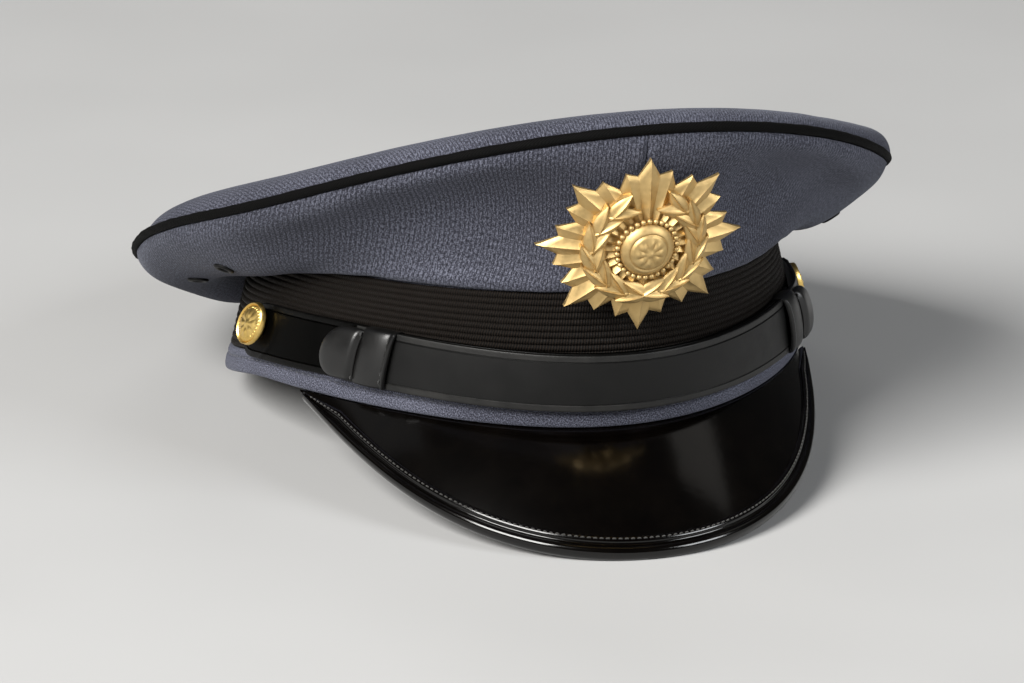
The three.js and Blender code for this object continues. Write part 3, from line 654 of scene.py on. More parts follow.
def crown_top():
    angle = ring_angles(TOP["around"])[:, None]
    share = 1 - (1 - np.linspace(0, 1, TOP["across"])[None, :]) ** 2.2
    angle, share = np.broadcast_arrays(angle, share)
    edge = rim_plan(angle)
    reach = np.linalg.norm(edge, axis=-1, keepdims=True)
    fuller = bell(np.degrees(angle) - TOP_FULLER["at"], TOP_FULLER["width"])
    inset = (TOP["inset"] - TOP_FULLER["out"] * fuller)[..., None]
    surface = edge * (1 - inset / reach) * share[..., None]
    fullness = TOP["fullness"] * (1 + TOP_FULLER["square"] * fuller)
    dome = TOP["dome"] * (1 + TOP_FULLER["rise"] * fuller * share**2) * np.sqrt(1 - share**fullness)
    slack = TOP_SLACK["depth"] * np.sin(angle * TOP_SLACK["waves"] + math.radians(TOP_SLACK["phase"]))
    slack = (slack - TOP_SLACK["front_sink"] * np.clip(np.cos(angle), 0, 1) ** 2) * share**2 * (1 - share**6)
    surface[..., 2] = rim_height(angle, share) + TOP["edge_lift"] + dome + slack
    surface[..., 2] += pucker(angle, (1 - share) * reach[..., 0]) * share
    lining = surface * (TOP["spread"], TOP["spread"], 1) - (0, 0, TOP["thickness"])
    threads = closed(along_columns(surface)[..., None] * unit(edge)[..., :2])
    quads = Quads()
    quads.shell(surface, lining, threads, wrap=True, inner_kind=1)
    settle(quads.build("crown_top_cloth", [CLOTH, LINING], 60), "cloth", "crown_top")


def wall_angles():
    """Angles of one half, from the front seam to the back one, closer together at both."""
    near = np.array([0.0, 0.12, 0.26, 0.42, 0.62, 0.88, 1.2, 1.6, 2.1, 2.7])
    first = math.degrees(GAP / 6 / SEAM["half_length"])
    middle = np.linspace(near[-1] + 0.9, 180 - near[-1] - 0.9, WALL["around"])
    return np.radians(np.concatenate([first + near, middle, 180 - first - near[::-1]]))


def crown_wall(word, side):
    half = wall_angles()[:, None]
    share = np.linspace(0, 1, WALL["across"])[None, :]
    share = mix(share, smoothstep(share, 0, 1), 0.5)
    angle, share = np.broadcast_arrays(half, share)
    points = wall_point(side * angle, share)
    normals = wall_normal(side * angle, np.clip(share, 2 * SMALL_TURN, 1 - 2 * SMALL_TURN))
    rise = along_columns(points)
    whole = rise[:, -1:]
    seam_gap = np.minimum(angle, np.pi - angle) * np.hypot(points[..., 0], points[..., 1])
    relief = WALL_SEAM["swell"] * bell(seam_gap - WALL_SEAM["swell_at"], WALL_SEAM["swell_width"])
    relief = relief - WALL_SEAM["dip"] * bell(seam_gap, WALL_SEAM["width"])
    relief = relief * smoothstep(rise, 0.0, 2.0) * smoothstep(whole - rise, 0.0, 2.0)
    relief = relief + pucker(side * angle, whole - rise) + pucker(side * angle + 1, rise)
    relief = relief + OVERHANG["out"] * bell(rise - OVERHANG["at"], OVERHANG["width"]) * smoothstep(rise, 0.0, 1.0)
    outer = points + normals * relief[..., None]
    inner = points - normals * WALL["thickness"]
    turn = GRAIN["turn"] * (angle - math.radians(GRAIN["start"]))
    radius = GRAIN["root"] + rise
    threads = np.stack([side * radius * np.sin(turn), radius * np.cos(turn)], -1)
    quads = Quads()
    quads.shell(outer, inner, threads, inner_kind=1)
    piece = quads.build(f"crown_wall_{word}", [CLOTH, LINING], 60)
    drill_eyelets(piece, side)
    settle(piece, "cloth", f"crown_side_{word}")


def wall_axes(side, degrees, share):
    """Place on the crown wall, with directions across it and out of it."""
    angle = np.array(side * math.radians(degrees))
    out = wall_normal(angle, np.array(share))
    across = unit(np.cross(out, np.array([0.0, 0.0, 1.0])))
    return wall_point(angle, np.array(share)), across, np.cross(out, across), out


def turned(profile, axes, sides):
    """A lathe: loops of points from radius and height pairs, about the outward axis at a place."""
    place, across, up, out = axes
    turn = np.linspace(0, 2 * np.pi, sides, endpoint=False)[:, None, None]
    radius, height = np.array(profile, float).T[:, None, :, None]
    return place + radius * (np.cos(turn) * across + np.sin(turn) * up) + height * out


def drill_eyelets(piece, side):
    """Cuts the eyelets' holes through one half of the crown wall."""
    drills = Quads()
    radius, half = EYELET["barrel"], EYELET["drill"] / 2
    for degrees, share in EYELET_PLACES.values():
        section = turned([(0, -half), (radius, -half), (radius, half), (0, half)], wall_axes(side, degrees, share), 20)
        threads = np.zeros((section.shape[0] + 1, section.shape[1], 2))
        drills.sheet(section, threads, wrap=True)
    drill = drills.build("eyelet_drill", [])
    cut = piece.modifiers.new("holes", "BOOLEAN")
    cut.object = drill
    cut.operation = "DIFFERENCE"
    cut.solver = "EXACT"
    drilled = bpy.data.meshes.new_from_object(piece.evaluated_get(bpy.context.evaluated_depsgraph_get()))
    piece.modifiers.clear()
    piece.data = drilled
    bpy.data.objects.remove(drill)


def eyelet(word, side, row, place):
    hole, barrel, flange = EYELET["hole"], EYELET["barrel"], EYELET["flange"]
    top = EYELET["stand_off"] + EYELET["lip"]
    under = -WALL["thickness"] - EYELET["stand_off"]
    profile = smooth_path([
        (hole, under), (hole, 0), (hole + 0.1, top * 0.7), (hole + 0.55, top), (flange - 0.7, top),
        (flange - 0.15, top * 0.7), (flange, 0.1), (barrel + 0.15, -0.15),
    ], 26).tolist()
    profile += [(barrel - 0.1, -0.3), (barrel - 0.1, under), (hole, under)]
    section = turned(profile, wall_axes(side, *place), 40)
    quads = Quads()
    quads.sheet(section, grid_threads(section, True), wrap=True)
    name = f"eyelet_{word}_{row}"
    settle(quads.build(f"{name}_ring", [JAPAN], 35), "eyelet_metal", name)


def crown_piping():
    angle = ring_angles(PIPING["around"])[:, None]
    turn = np.linspace(0, 2 * np.pi, PIPING["sides"], endpoint=False)[None, :]
    centre = rim_point(angle)
    outward = unit(oval(RIM, angle))
    wobble = PIPING["wobble"] * (np.sin(angle * 37) + np.sin(angle * 90 + 2 * turn))
    radius = (PIPING["radius"] + wobble)[..., None]
    section = centre + radius * (np.cos(turn)[..., None] * outward + np.sin(turn)[..., None] * np.array([0.0, 0.0, 1.0]))
    quads = Quads()
    quads.loft(section, loop_threads(section, True), wrap=True)
    settle(quads.build("crown_piping_cord", [PIPING_CLOTH], 70), "piping", "crown_piping")


# Band
def band_welt():
    """Head band: a rounded cloth welt with a stitched groove below, and the leather sweatband inside."""
    height, depth, edge = WELT["height"], WELT["depth"], WELT["round"]
    groove, dip = WELT["groove_at"], WELT["groove_depth"]
    roll = smooth_path([
        (edge / 2 - depth, 0), (-edge, 0), (-edge / 3, edge / 5), (0.1, edge), (0.3, height * 0.36),
        (0.25, groove - 0.8), (-dip, groove), (0.2, groove + 0.7), (0.05, height - 0.5), (-edge / 2, height),
        (WALL_OUTER, height + 0.1),
    ], 44)
    angle = ring_angles(WELT["around"])
    top = band_height(angle)
    outer = [on_band(angle, h, n) for n, h in roll]
    outer += [on_band(angle, mix(height + 0.1, top, k), WALL_OUTER) for k in (0.33, 0.66, 1.0)]
    inner = [on_band(angle, mix(0.4, top, k), -depth) for k in np.linspace(0, 1, len(outer))]
    outer, inner = np.stack(outer, 1), np.stack(inner, 1)
    quads = Quads()
    quads.shell(outer, inner, grid_threads(outer, True), wrap=True, inner_kind=1)
    settle(quads.build("band_welt", [WELT_CLOTH, SWEATBAND], 50), "cloth", "band_cloth")
    welt_stitches(groove, dip)


def even_angles(path, low, high, pitch):
    """Angles in radians at even lengths along a path round the head."""
    fine = np.linspace(math.radians(low), math.radians(high), 2000)
    run = along_rows(path(fine))
    return np.interp(np.arange(pitch / 2, run[-1], pitch), run, fine)


def welt_stitches(groove, dip):
    angle = even_angles(lambda a: on_band(a, groove, 0), -180, 180, 3.2)
    half = 1.15 / np.linalg.norm(band_bottom(angle + 0.5) - band_bottom(angle - 0.5), axis=-1)
    starts = on_band(angle - half, groove, 0.25 - dip)
    ends = on_band(angle + half, groove, 0.25 - dip)
    quads = Quads()
    add_stitches(quads, starts, ends, band_frame(angle)[3], 0.24)
    settle(quads.build("band_stitches", [BLUE_THREAD], 80), "cloth")


def band_braid():
    angle = ring_angles(BRAID["around"])[:, None]
    low, high = WELT["height"] + GAP, band_height(angle) - GAP
    ribs, count = BRAID["ribs"], BRAID["rib_points"]
    place = np.linspace(0, ribs, ribs * count + 1)[None, :]
    bulge = np.abs(np.sin(np.pi * place)) ** 0.6
    outer = on_band(angle, mix(low, high, place / ribs), mix(BRAID["valley"], BRAID["crest"], bulge))
    inner = on_band(angle, mix(low, high, place / ribs), BRAID["back"])
    threads = grid_threads(outer, True)
    threads[..., 1] = place
    quads = Quads()
    quads.shell(outer, inner, threads, wrap=True)
    settle(quads.build("band_braid_ribs", [BRAID_CLOTH], 80), "braid", "band_braid")


# Peak
def peak():
    angle = np.radians(np.linspace(-PEAK_FORM["end"], PEAK_FORM["end"], PEAK_FORM["around"]))
    share = np.linspace(0, 1, PEAK_FORM["across"])
    face = [on_band(angle, -GAP, -PEAK_FORM["tuck"])]
    lining = [on_band(angle, -GAP - PEAK["thickness"], -PEAK_FORM["tuck"] - GAP)]
    for s in share:
        face.append(on_peak(angle, s, 0))
        lining.append(on_peak(angle, s, -PEAK["thickness"]))
    face, lining = np.stack(face, 1), np.stack(lining, 1)
    quads = Quads()
    quads.shell(face, lining, grid_threads(face), inner_kind=1)
    settle(quads.build("peak_patent", [PATENT, PEAK_LINING], 50), "patent_leather", "peak")


BINDING_TOP = (
    (-5.6, 0.12), (-5.3, 0.55), (-4.7, 1.0), (-4.1, 1.12), (-3.5, 1.0), (-2.9, 0.55), (-2.5, 0.42), (-2.1, 0.6),
    (-1.5, 1.1), (-0.6, 1.45), (0.3, 1.3), (1.1, 0.6), (1.6, -0.5),
)
BINDING_UNDER = ((1.6, -1.6), (1.1, -2.7), (0.2, -3.3), (-1.5, -3.4), (-3.5, -3.2), (-5.2, -2.9), (-5.6, -2.5))


def peak_binding():
    """Bound edge: a rolled bead along the edge, then a groove and a stitched ridge."""
    angle = np.radians(np.linspace(-BINDING["end"], BINDING["end"], BINDING["around"]))
    length = peak_frame(angle)[3]
    squeeze = np.minimum(1, length * BINDING["share"] / BINDING["width"])
    loop = np.concatenate([smooth_path(BINDING_TOP, 44), smooth_path(BINDING_UNDER, 22), [(-5.6, -2.3), (-5.6, 0.0)]])
    loop = np.concatenate([loop[:44], loop[44:]])
    points = []
    for out, above in loop:
        moved = np.where(out < 0, out * squeeze, out)
        points.append(on_peak(angle, 1 + moved / length, above))
    section = np.stack(points, 1)
    quads = Quads()
    quads.loft(section, loop_threads(section))
    settle(quads.build("peak_binding_roll", [PATENT], 50), "patent_leather", "peak_binding")
    peak_stitches()


def peak_stitches():
    def ridge(angle):
        length = peak_frame(angle)[3]
        squeeze = np.minimum(1, length * BINDING["share"] / BINDING["width"])
        return on_peak(angle, 1 - 4.1 * squeeze / length, 1.3)

    angle = even_angles(ridge, -BINDING["end"] + 2, BINDING["end"] - 2, 1.9)
    half = 0.7 / np.linalg.norm(ridge(angle + 0.005) - ridge(angle - 0.005), axis=-1) * 0.01
    quads = Quads()
    add_stitches(quads, ridge(angle - half), ridge(angle + half), peak_frame(angle)[2], 0.22)
    settle(quads.build("peak_stitches", [PEAK_THREAD], 80), "patent_leather")


# Chin strap
# Half section of a strap: distance in from its edge, and thickness there
STRAP_SECTION = (
    (0.0, 0.9), (0.03, 1.04), (0.1, 1.1), (0.6, 1.13), (1.4, 1.16), (1.85, 1.18), (2.0, 0.95), (2.15, 0.8),
    (2.3, 0.95), (2.45, 1.22), (3.1, 1.26), (3.8, 1.3), (5.0, 1.34), (6.6, 1.38), (9.15, 1.4),
)


STRAP_RIM = 2.1
# Ring that the button has pressed into the strap under it
BUTTON_MARK = dict(rise=0.3, radius=11.0, width=0.6)


def strap_lift(side, place):
    """Distance of a strap's back from the band: the front strap lies on the other one until past its own keeper."""
    if side < 0:
        return np.full_like(place, STRAP["under"])
    return mix(STRAP["over"], STRAP["under"], smoothstep(place, STRAP_SETTLE["start"], STRAP_SETTLE["end"]))


def chin_strap(name, node_name, side, leathers):
    radius = STRAP["half_width"]
    end_turn = turn_for(radius, BUTTON["angle"])
    square_end = -KEEPER["front"] - turn_for(KEEPER["width"] + KEEPER["strap_past"], KEEPER["front"])
    tip = np.radians(np.array([4, 10, 18, 27, 37, 48, 60, 73]))
    place = np.concatenate([BUTTON["angle"] + end_turn * np.cos(tip), np.linspace(BUTTON["angle"], square_end, STRAP["around"])])
    half = np.concatenate([radius * np.sin(tip), np.full(STRAP["around"], radius)])
    inset, thick = np.array(STRAP_SECTION).T
    inset, thick = np.concatenate([inset, inset[-2::-1]]), np.concatenate([thick, thick[-2::-1]])
    low = np.arange(len(inset)) < len(STRAP_SECTION)
    across = np.where(low, inset / radius - 1, 1 - inset / radius)[None, :]
    angle = np.radians(side * place)[:, None]
    height = strap_centre(angle) + across * half[:, None]
    back = strap_lift(side, place)[:, None]
    flat = STRAP_FLAT["most"] * smoothstep(place, STRAP_FLAT["start"], STRAP_FLAT["end"])[:, None]
    swell = np.clip(thick - STRAP_FLAT["thickness"], 0, None)[None, :]
    from_button = (BUTTON["angle"] - place)[:, None] / turn_for(1.0, BUTTON["angle"])
    mark = BUTTON_MARK["rise"] * bell(np.hypot(from_button, across * radius) - BUTTON_MARK["radius"], BUTTON_MARK["width"])
    outer = on_band(angle, height, back + thick[None, :] - flat * swell + mark)
    inner = on_band(angle, height, back + 0 * thick[None, :])
    threads = grid_threads(outer)
    quads = Quads()
    quads.shell(outer, inner, threads)
    rim_faces = np.minimum(inset[1:], inset[:-1]) < STRAP_RIM
    quads.kinds[0] = np.tile(rim_faces.astype(int), len(place) - 1)
    settle(quads.build(name, leathers, 40), "strap_leather", node_name)


def keeper(word, side):
    """Leather loop round both straps, with a raised front rim, and a padded half-round tab sewn to it."""
    quads = Quads()
    keeper_loop(quads, side)
    keeper_tab(quads, side)
    settle(quads.build(f"keeper_{word}_loop", [KEEPER_LEATHER], 45), "strap_leather", f"keeper_{word}")
    keeper_stitches(word, side)


KEEPER_TOP = STRAP["over"] + STRAP["thickness"] + GAP + 0.15
# Stations along the loop from its front edge: millimetres, and how far the leather stands out there
LOOP_STATIONS = ((0.0, 0.5), (0.1, 1.1), (0.45, 1.45), (0.9, 1.4), (1.25, 0.95), (1.6, 0.7), (2.0, 0.72), (2.6, 0.95),
                 (3.6, 1.25), (5.0, 1.45), (7.0, 1.55), (9.0, 1.45), (10.4, 1.2), (11.4, 0.9), (12.2, 0.5))


def keeper_loop(quads, side):
    half = STRAP["half_width"] + KEEPER["slack"]
    bulge = 0.8
    turn = np.linspace(0, 2 * np.pi, 96, endpoint=False)
    square = 0.46
    mid = (KEEPER_TOP + GAP + KEEPER["back"]) / 2
    deep = (KEEPER_TOP - GAP - KEEPER["back"]) / 2
    h = half * np.sign(np.sin(turn)) * np.abs(np.sin(turn)) ** square
    n = mid + deep * np.sign(np.cos(turn)) * np.abs(np.cos(turn)) ** square
    n = n + bulge * np.clip(np.cos(turn), 0, 1) * (1 - (h / half) ** 2)
    face_h, face_n = np.gradient(h), np.gradient(n)
    size = np.hypot(face_h, face_n)
    out_h, out_n = -face_n / size, face_h / size
    flip = np.sign(np.mean(out_h * h + out_n * (n - mid)))
    out_h, out_n = out_h * flip, out_n * flip
    outer, inner = [], []
    for run, thick in LOOP_STATIONS:
        angle = math.radians(side * (KEEPER["front"] + turn_for(run, KEEPER["front"])))
        centre = strap_centre(angle)
        floor = np.maximum(n + out_n * thick, GAP)
        outer.append(on_band(angle, centre + h + out_h * thick * KEEPER["side_share"], floor))
        inner.append(on_band(angle, centre + h, n))
    outer, inner = np.stack(outer, 1), np.stack(inner, 1)
    quads.shell(outer, inner, grid_threads(outer, True), wrap=True)


def keeper_tab(quads, side):
    start = KEEPER["front"] + turn_for(KEEPER["width"] - 0.5, KEEPER["front"])
    radius = KEEPER["tab_radius"]
    tab_end = KEEPER["tab_end"]
    run = tab_end - start
    length = run / turn_for(1.0, tab_end)
    straight = length - radius
    tip = length - radius + radius * np.sin(np.radians(np.linspace(5, 88, 20)))
    along = np.concatenate([[0, 0.4, 0.8, 1.3, 1.9], np.linspace(2.6, straight, 4), tip])
    over = np.clip(along - straight, 0, radius)
    half = np.sqrt(np.clip(radius**2 - over**2, 0.02, None))
    half = half * (1 - 0.06 * bell(along - 0.6, 0.7))
    across = np.sin(np.linspace(-np.pi / 2, np.pi / 2, 31))
    angle = np.radians(side * (start + along * turn_for(1.0, tab_end)))[:, None]
    from_tip = np.hypot(np.clip(along - straight, 0, None)[:, None], across[None, :] * half[:, None])
    edge = np.clip(radius - from_tip, 0, None)
    pad = 0.6 + 3.2 * np.sqrt(1 - np.exp(-edge / 3.0)) - 1.6 * bell(along - 0.3, 1.0)[:, None]
    height = strap_centre(angle) + across[None, :] * half[:, None]
    back = KEEPER_TOP - 0.1
    outer = on_band(angle, height, back + pad)
    inner = on_band(angle, height, back + 0 * pad)
    quads.shell(outer, inner, grid_threads(outer))


def keeper_stitches(word, side):
    start = KEEPER["front"] + turn_for(KEEPER["width"] + 0.05, KEEPER["front"])
    angle = math.radians(side * start)
    centre = strap_centre(angle)
    heights = np.linspace(-7.2, 7.2, 7)
    quads = Quads()
    normals = np.repeat(band_frame(np.array([angle]))[3], len(heights), 0)
    level = KEEPER_TOP + 1.35
    add_stitches(quads, on_band(angle, centre + heights - 0.85, level), on_band(angle, centre + heights + 0.85, level), normals, 0.3)
    rim = math.radians(side * (KEEPER["front"] + turn_for(1.55, KEEPER["front"])))
    heights = np.linspace(-6.6, 6.6, 6)
    level = KEEPER_TOP + 1.3
    add_stitches(quads, on_band(rim, centre + heights - 0.9, level), on_band(rim, centre + heights + 0.9, level), normals[:6], 0.26)
    settle(quads.build(f"keeper_{word}_stitches", [BLACK_THREAD], 80), "strap_leather")


# Gilt pieces
def button(word, side):
    """Domed button with a turned rim and a plain rosette in relief."""
    angle = np.array(side * math.radians(BUTTON["angle"]))
    _, along, up, out, _ = band_frame(angle)
    lean = side * math.radians(BUTTON_LEAN[word])
    out, along = out * math.cos(lean) - along * math.sin(lean), along * math.cos(lean) + out * math.sin(lean)
    axes = (on_band(angle, strap_centre(angle) + BUTTON_LIFT[word], BUTTON_SEAT[word]), along, up, out)
    radius = BUTTON["radius"]
    turn = np.linspace(0, 2 * np.pi, 128, endpoint=False)[:, None]
    share = np.concatenate([np.linspace(0, 0.84, 34), [0.86, 0.88, 0.91, 0.94, 0.97, 0.99, 1.0]])[None, :]
    dome = 2.0 + 1.6 * np.sqrt(np.clip(1 - (share / 0.9) ** 2, 0, 1))
    rim = 2.0 + 0.6 * bell(share - 0.935, 0.05)
    height = np.where(share < 0.85, np.maximum(dome - 0.3, 2.0), rim)
    petals = np.clip(np.cos(8 * turn) * 0.5 + 0.5, 0, 1) ** 0.7
    flower = 0.32 * petals * bell(share - 0.42, 0.17) + 0.36 * bell(share, 0.13)
    beads = 0.28 * np.clip(np.cos(28 * turn), -0.2, 1) * bell(share - 0.74, 0.045)
    height = height + flower + beads - 0.9 * smoothstep(share, 0.97, 1.0)
    front = turned_grid(axes, turn, radius * share, height)
    under = np.array([(0.0, -0.7), (0.72, -0.7), (0.8, 0.5), (0.97, 0.9), (1.0, 1.1)])
    back_share = np.interp(np.linspace(0, 1, share.shape[1]), np.linspace(0, 1, len(under)), under[:, 0])[None, :]
    back_height = np.interp(np.linspace(0, 1, share.shape[1]), np.linspace(0, 1, len(under)), under[:, 1])[None, :]
    back = turned_grid(axes, turn, radius * back_share, back_height + 0 * turn)
    quads = Quads()
    quads.shell(front, back, grid_threads(front, True), wrap=True)
    settle(quads.build(f"button_{word}_gilt", [BUTTON_GILT], 50), "gilt", f"button_{word}")


def turned_grid(axes, turn, radius, height):
    place, across, up, out = axes
    radius, height, turn = (v[..., None] for v in np.broadcast_arrays(radius, height, turn))
    return place + radius * (np.cos(turn) * across + np.sin(turn) * up) + height * out


def on_badge(x, y, z):
    """Badge points: right, up and out from its middle, bent to the crown's front."""
    lean = math.radians(BADGE_PLACE["lean"])
    z = z - x**2 / (2 * BADGE["bend"])
    y_cap = BADGE_PLACE["y"] - y * math.sin(lean) - z * math.cos(lean)
    z_cap = BADGE_PLACE["z"] + y * math.cos(lean) - z * math.sin(lean)
    return xyz(x, y_cap, z_cap)


# Rays of one point of the star from its middle: reach as a share of the star's, and heights of ridge and edge
RAYS = ((1.0, 3.6, 1.8), (0.86, 3.1, 1.6), (0.86, 3.1, 1.6))
RAY_VALLEYS = ((0.80, 1.9, 1.1), (0.70, 1.7, 1.0), (0.80, 1.9, 1.1))
RAY_STEPS = 14


def badge():
    quads = Quads()
    badge_star(quads)
    for side in (1, -1):
        for k in range(WREATH["leaves"]):
            wreath_leaf(quads, side, k)
    badge_boss(quads)
    badge_posts(quads)
    settle(quads.build("badge_star", [GILT], 28), "gilt", "badge")


def badge_posts(quads):
    """Two round posts behind the star, which fasten it to the crown wall."""
    turn = np.linspace(0, 2 * np.pi, 24, endpoint=False)[:, None]
    radius = BADGE_POST["radius"] * np.array([[0.0, 1.0, 1.0, 0.0]])
    depth = np.array([[1.0, 1.0, -BADGE_POST["length"], -BADGE_POST["length"]]])
    for side in (1, -1):
        x = side * BADGE_POST["apart"] + radius * np.cos(turn)
        post = on_badge(x, BADGE_POST["up"] + radius * np.sin(turn), depth + 0 * turn)
        quads.sheet(post, grid_threads(post, True), wrap=True)


def badge_star(quads):
    count = BADGE["points"] * len(RAYS)
    steps = np.arange(count * RAY_STEPS)
    turn = steps * 2 * np.pi / len(steps)
    ray = np.rint(steps / RAY_STEPS).astype(int) % len(RAYS)
    offset = (steps / RAY_STEPS - np.rint(steps / RAY_STEPS)) * 2
    valley = np.where(offset >= 0, ray, ray - 1) % len(RAYS)
    ridge, hollow = np.array(RAYS)[ray], np.array(RAY_VALLEYS)[valley]
    edge = np.abs(offset)[:, None]
    reach = mix(ridge[:, :1], hollow[:, :1], edge**0.8)
    share = np.linspace(0, 1, 30)[None, :] ** 0.9
    inner_height = mix(ridge[:, 1:2], hollow[:, 1:2], edge**0.85)
    outer_height = mix(ridge[:, 2:], hollow[:, 2:], edge**0.85)
    height = np.where(share < 0.5, mix(BADGE["depth"], inner_height, share / 0.5), mix(inner_height, outer_height, (share - 0.5) / 0.5))
    height = height - 0.5 * smoothstep(share, 0.94, 1.0)
    x = BADGE["half_width"] * reach * np.sin(turn)[:, None] * share
    y = BADGE["half_height"] * reach * np.cos(turn)[:, None] * share
    front, back = on_badge(x, y, height), on_badge(x, y, 0 * height)
    quads.shell(front, back, grid_threads(front, True), wrap=True)


WREATH = dict(leaves=7, start=168.0, end=30.0, lean=22.0, half_width=16.0, half_height=15.0, lift=3.0, leaf_width=2.3,
              leaf_length=5.4, leaf_depth=1.7)


def wreath_leaf(quads, side, k):
    turn = math.radians(mix(WREATH["start"], WREATH["end"], k / (WREATH["leaves"] - 1)))
    for way in (1, -1):
        lean = math.radians(way * WREATH["lean"])
        aim = math.pi / 2 - turn + lean
        run = np.linspace(0, 1, 17)[:, None]
        across = np.linspace(-1, 1, 13)[None, :]
        width = WREATH["leaf_width"] * np.sin(np.pi * np.clip(run, 0.02, 0.98) ** 0.75) ** 0.8
        along = (run * 2 - 1) * WREATH["leaf_length"] + 0 * across
        beside = across * width + way * 1.4
        rib = 0.45 * bell(across, 0.12) + (1 - np.abs(across)) ** 0.6
        height = WREATH["lift"] + WREATH["leaf_depth"] * (0.25 + 0.75 * rib * np.sin(np.pi * np.clip(run, 0.04, 0.96)) ** 0.5)
        centre_x, centre_y = WREATH["half_width"] * math.sin(turn), WREATH["half_height"] * math.cos(turn)
        x = centre_x - beside * math.cos(aim) - along * math.sin(aim)
        y = centre_y - beside * math.sin(aim) + along * math.cos(aim)
        front = on_badge(side * x, y, height)
        back = on_badge(side * x, y, 0.8 + 0 * height)
        quads.shell(front, back, grid_threads(front))


BOSS = dict(radius=8.5, depth=3.8, lift=3.6, beads=30, bead=0.85, rosette=0.5)


def badge_boss(quads):
    """Domed boss with a small rosette and a ring of beads."""
    turn = np.linspace(0, 2 * np.pi, 144, endpoint=False)[:, None]
    share = np.linspace(0, 1, 36)[None, :]
    height = BOSS["lift"] + BOSS["depth"] * np.sqrt(np.clip(1 - share**2.2, 0, 1))
    petals = np.clip(np.cos(8 * turn) * 0.5 + 0.5, 0, 1) ** 0.6
    height = height + BOSS["rosette"] * (petals * bell(share - 0.36, 0.15) + 1.2 * bell(share, 0.12) - 0.9 * bell(share - 0.68, 0.04))
    x, y = BOSS["radius"] * share * np.sin(turn), BOSS["radius"] * share * np.cos(turn)
    front = on_badge(x, y, height)
    quads.shell(front, on_badge(x, y, 1.0 + 0 * height), grid_threads(front, True), wrap=True)
    spin = np.linspace(0, 2 * np.pi, 12, endpoint=False)[:, None]
    rise = np.linspace(-np.pi / 2, np.pi / 2, 9)[None, :]
    for k in range(BOSS["beads"]):
        at = 2 * np.pi * k / BOSS["beads"]
        ring = BOSS["radius"] + BOSS["bead"] * 0.9
        x = ring * math.sin(at) + BOSS["bead"] * np.cos(rise) * np.cos(spin)
        y = ring * math.cos(at) + BOSS["bead"] * np.cos(rise) * np.sin(spin)
        z = BOSS["lift"] + 0.5 + BOSS["bead"] * np.sin(rise) + 0 * spin
        ball = on_badge(x, y, z)
        quads.sheet(ball, grid_threads(ball, True), wrap=True)


# Camera and light
CAMERA = dict(turn=-16.657, rise=11.193, roll=-1.911, distance=1.79816, focal_px=5655.24, centre_px=(525.56, 366.5))
IMAGE = dict(width=1024, height=683)
SENSOR = 36.0


def add_camera():
    turn, rise, roll = (math.radians(CAMERA[key]) for key in ("turn", "rise", "roll"))
    back = Vector((math.sin(turn) * math.cos(rise), -math.cos(turn) * math.cos(rise), math.sin(rise)))
    right = Vector((math.cos(turn), math.sin(turn), 0))
    up = back.cross(right)
    level, upright = right * math.cos(roll) + up * math.sin(roll), up * math.cos(roll) - right * math.sin(roll)
    tilt = Matrix.Rotation(-math.radians(REST["tilt"]), 3, "X")
    axes = [tilt @ axis for axis in (level, upright, back)]
    data = bpy.data.cameras.new("camera")
    camera = bpy.data.objects.new("camera", data)
    bpy.context.scene.collection.objects.link(camera)
    placed = Matrix(axes).transposed().to_4x4()
    placed.translation = Vector(to_row(np.zeros(3))) + axes[2] * CAMERA["distance"]
    camera.matrix_world = placed
    data.sensor_fit = "HORIZONTAL"
    data.sensor_width = SENSOR
    data.lens = CAMERA["focal_px"] / IMAGE["width"] * SENSOR
    data.shift_x = (IMAGE["width"] / 2 - CAMERA["centre_px"][0]) / IMAGE["width"]
    data.shift_y = (CAMERA["centre_px"][1] - IMAGE["height"] / 2) / IMAGE["width"]
    bpy.context.scene.camera = camera


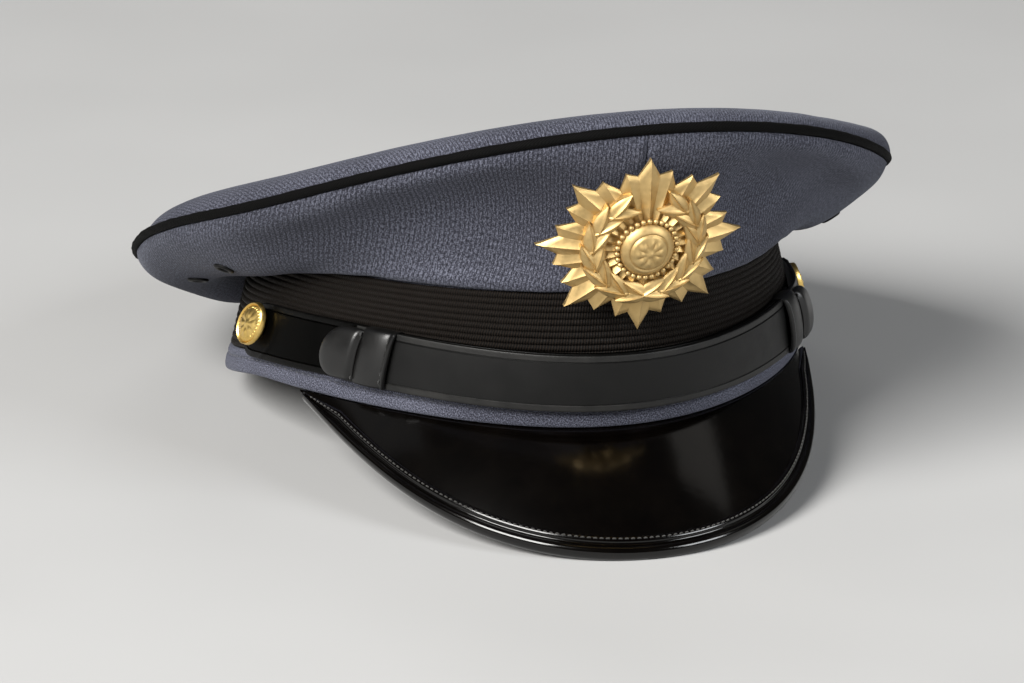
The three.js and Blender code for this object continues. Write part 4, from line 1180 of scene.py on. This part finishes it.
# Soft boxes: azimuth and height in degrees, distance, width and length in metres, power in watts, and warmth
LIGHTS = dict(
    key=(-56, 36, 3.0, 1.6, 1.6, 200, (1.0, 0.985, 0.96)),
    side_glow=(92, 51, 2.0, 0.65, 0.5, 0.4, (1.0, 0.96, 0.9)),
    back_glow=(-122, 44, 2.0, 0.8, 0.6, 0.25, (1.0, 1.0, 1.0)),
    behind=(165, 48, 3.0, 1.6, 1.4, 11, (1.0, 1.0, 1.0)),
    fill=(45, 26, 3.0, 1.2, 1.2, 58, (0.96, 0.98, 1.0)),
)
FLOOR = dict(size=8.0, low=(0.4, 0.4, 0.398), high=(0.43, 0.43, 0.428))
WORLD = dict(colour=(1.0, 1.0, 1.0), strength=0.03)


def add_light(name, azimuth, height, distance, width, length, power, colour):
    data = bpy.data.lights.new(name, "AREA")
    data.shape = "RECTANGLE"
    data.size, data.size_y = width, length
    data.energy = power
    data.color = colour
    light = bpy.data.objects.new(name, data)
    bpy.context.scene.collection.objects.link(light)
    turn, rise = math.radians(azimuth), math.radians(height)
    away = Vector((math.sin(turn) * math.cos(rise), -math.cos(turn) * math.cos(rise), math.sin(rise)))
    light.location = Vector((0, 0, 0.06)) + away * distance
    light.rotation_mode = "QUATERNION"
    light.rotation_quaternion = away.to_track_quat("Z", "Y")


def add_stage():
    half = FLOOR["size"] / 2
    mesh = bpy.data.meshes.new("floor")
    mesh.from_pydata([(-half, -half, 0), (half, -half, 0), (half, half, 0), (-half, half, 0)], [], [(0, 1, 2, 3)])
    made, tree, shader = new_material("floor_paper", {"Roughness": 0.9, "Specular IOR Level": 0.1})
    tooth = noise(tree, object_place(tree), 6.0, 2.0, 0.5)
    tree.links.new(ramp(tree, tooth, [(0.3, FLOOR["low"]), (0.7, FLOOR["high"])]), shader.inputs["Base Color"])
    mesh.materials.append(made)
    floor = bpy.data.objects.new("floor", mesh)
    bpy.context.scene.collection.objects.link(floor)
    world = bpy.data.worlds.new("studio")
    bpy.context.scene.world = world
    world.use_nodes = True
    background = world.node_tree.nodes["Background"]
    background.inputs["Color"].default_value = (*WORLD["colour"], 1)
    background.inputs["Strength"].default_value = WORLD["strength"]
    for name, values in LIGHTS.items():
        add_light(name, *values)
    bpy.context.scene.view_settings.view_transform = "Standard"


crown_top()
crown_piping()
band_welt()
band_braid()
peak()
peak_binding()
chin_strap("chin_strap_front", "strap_front", 1, [STRAP_LEATHER, STRAP_EDGE])
# The under strap takes the darker copies of the strap leathers, which paint shade on it
chin_strap("chin_strap_under", "strap_under", -1, [UNDER_STRAP_PAINTED_SHADE, UNDER_EDGE_PAINTED_SHADE])
for word, side in SIDES.items():
    crown_wall(word, side)
    for row, place in EYELET_PLACES.items():
        eyelet(word, side, row, place)
    keeper(word, side)
    button(word, side)
badge()
add_camera()
add_stage()
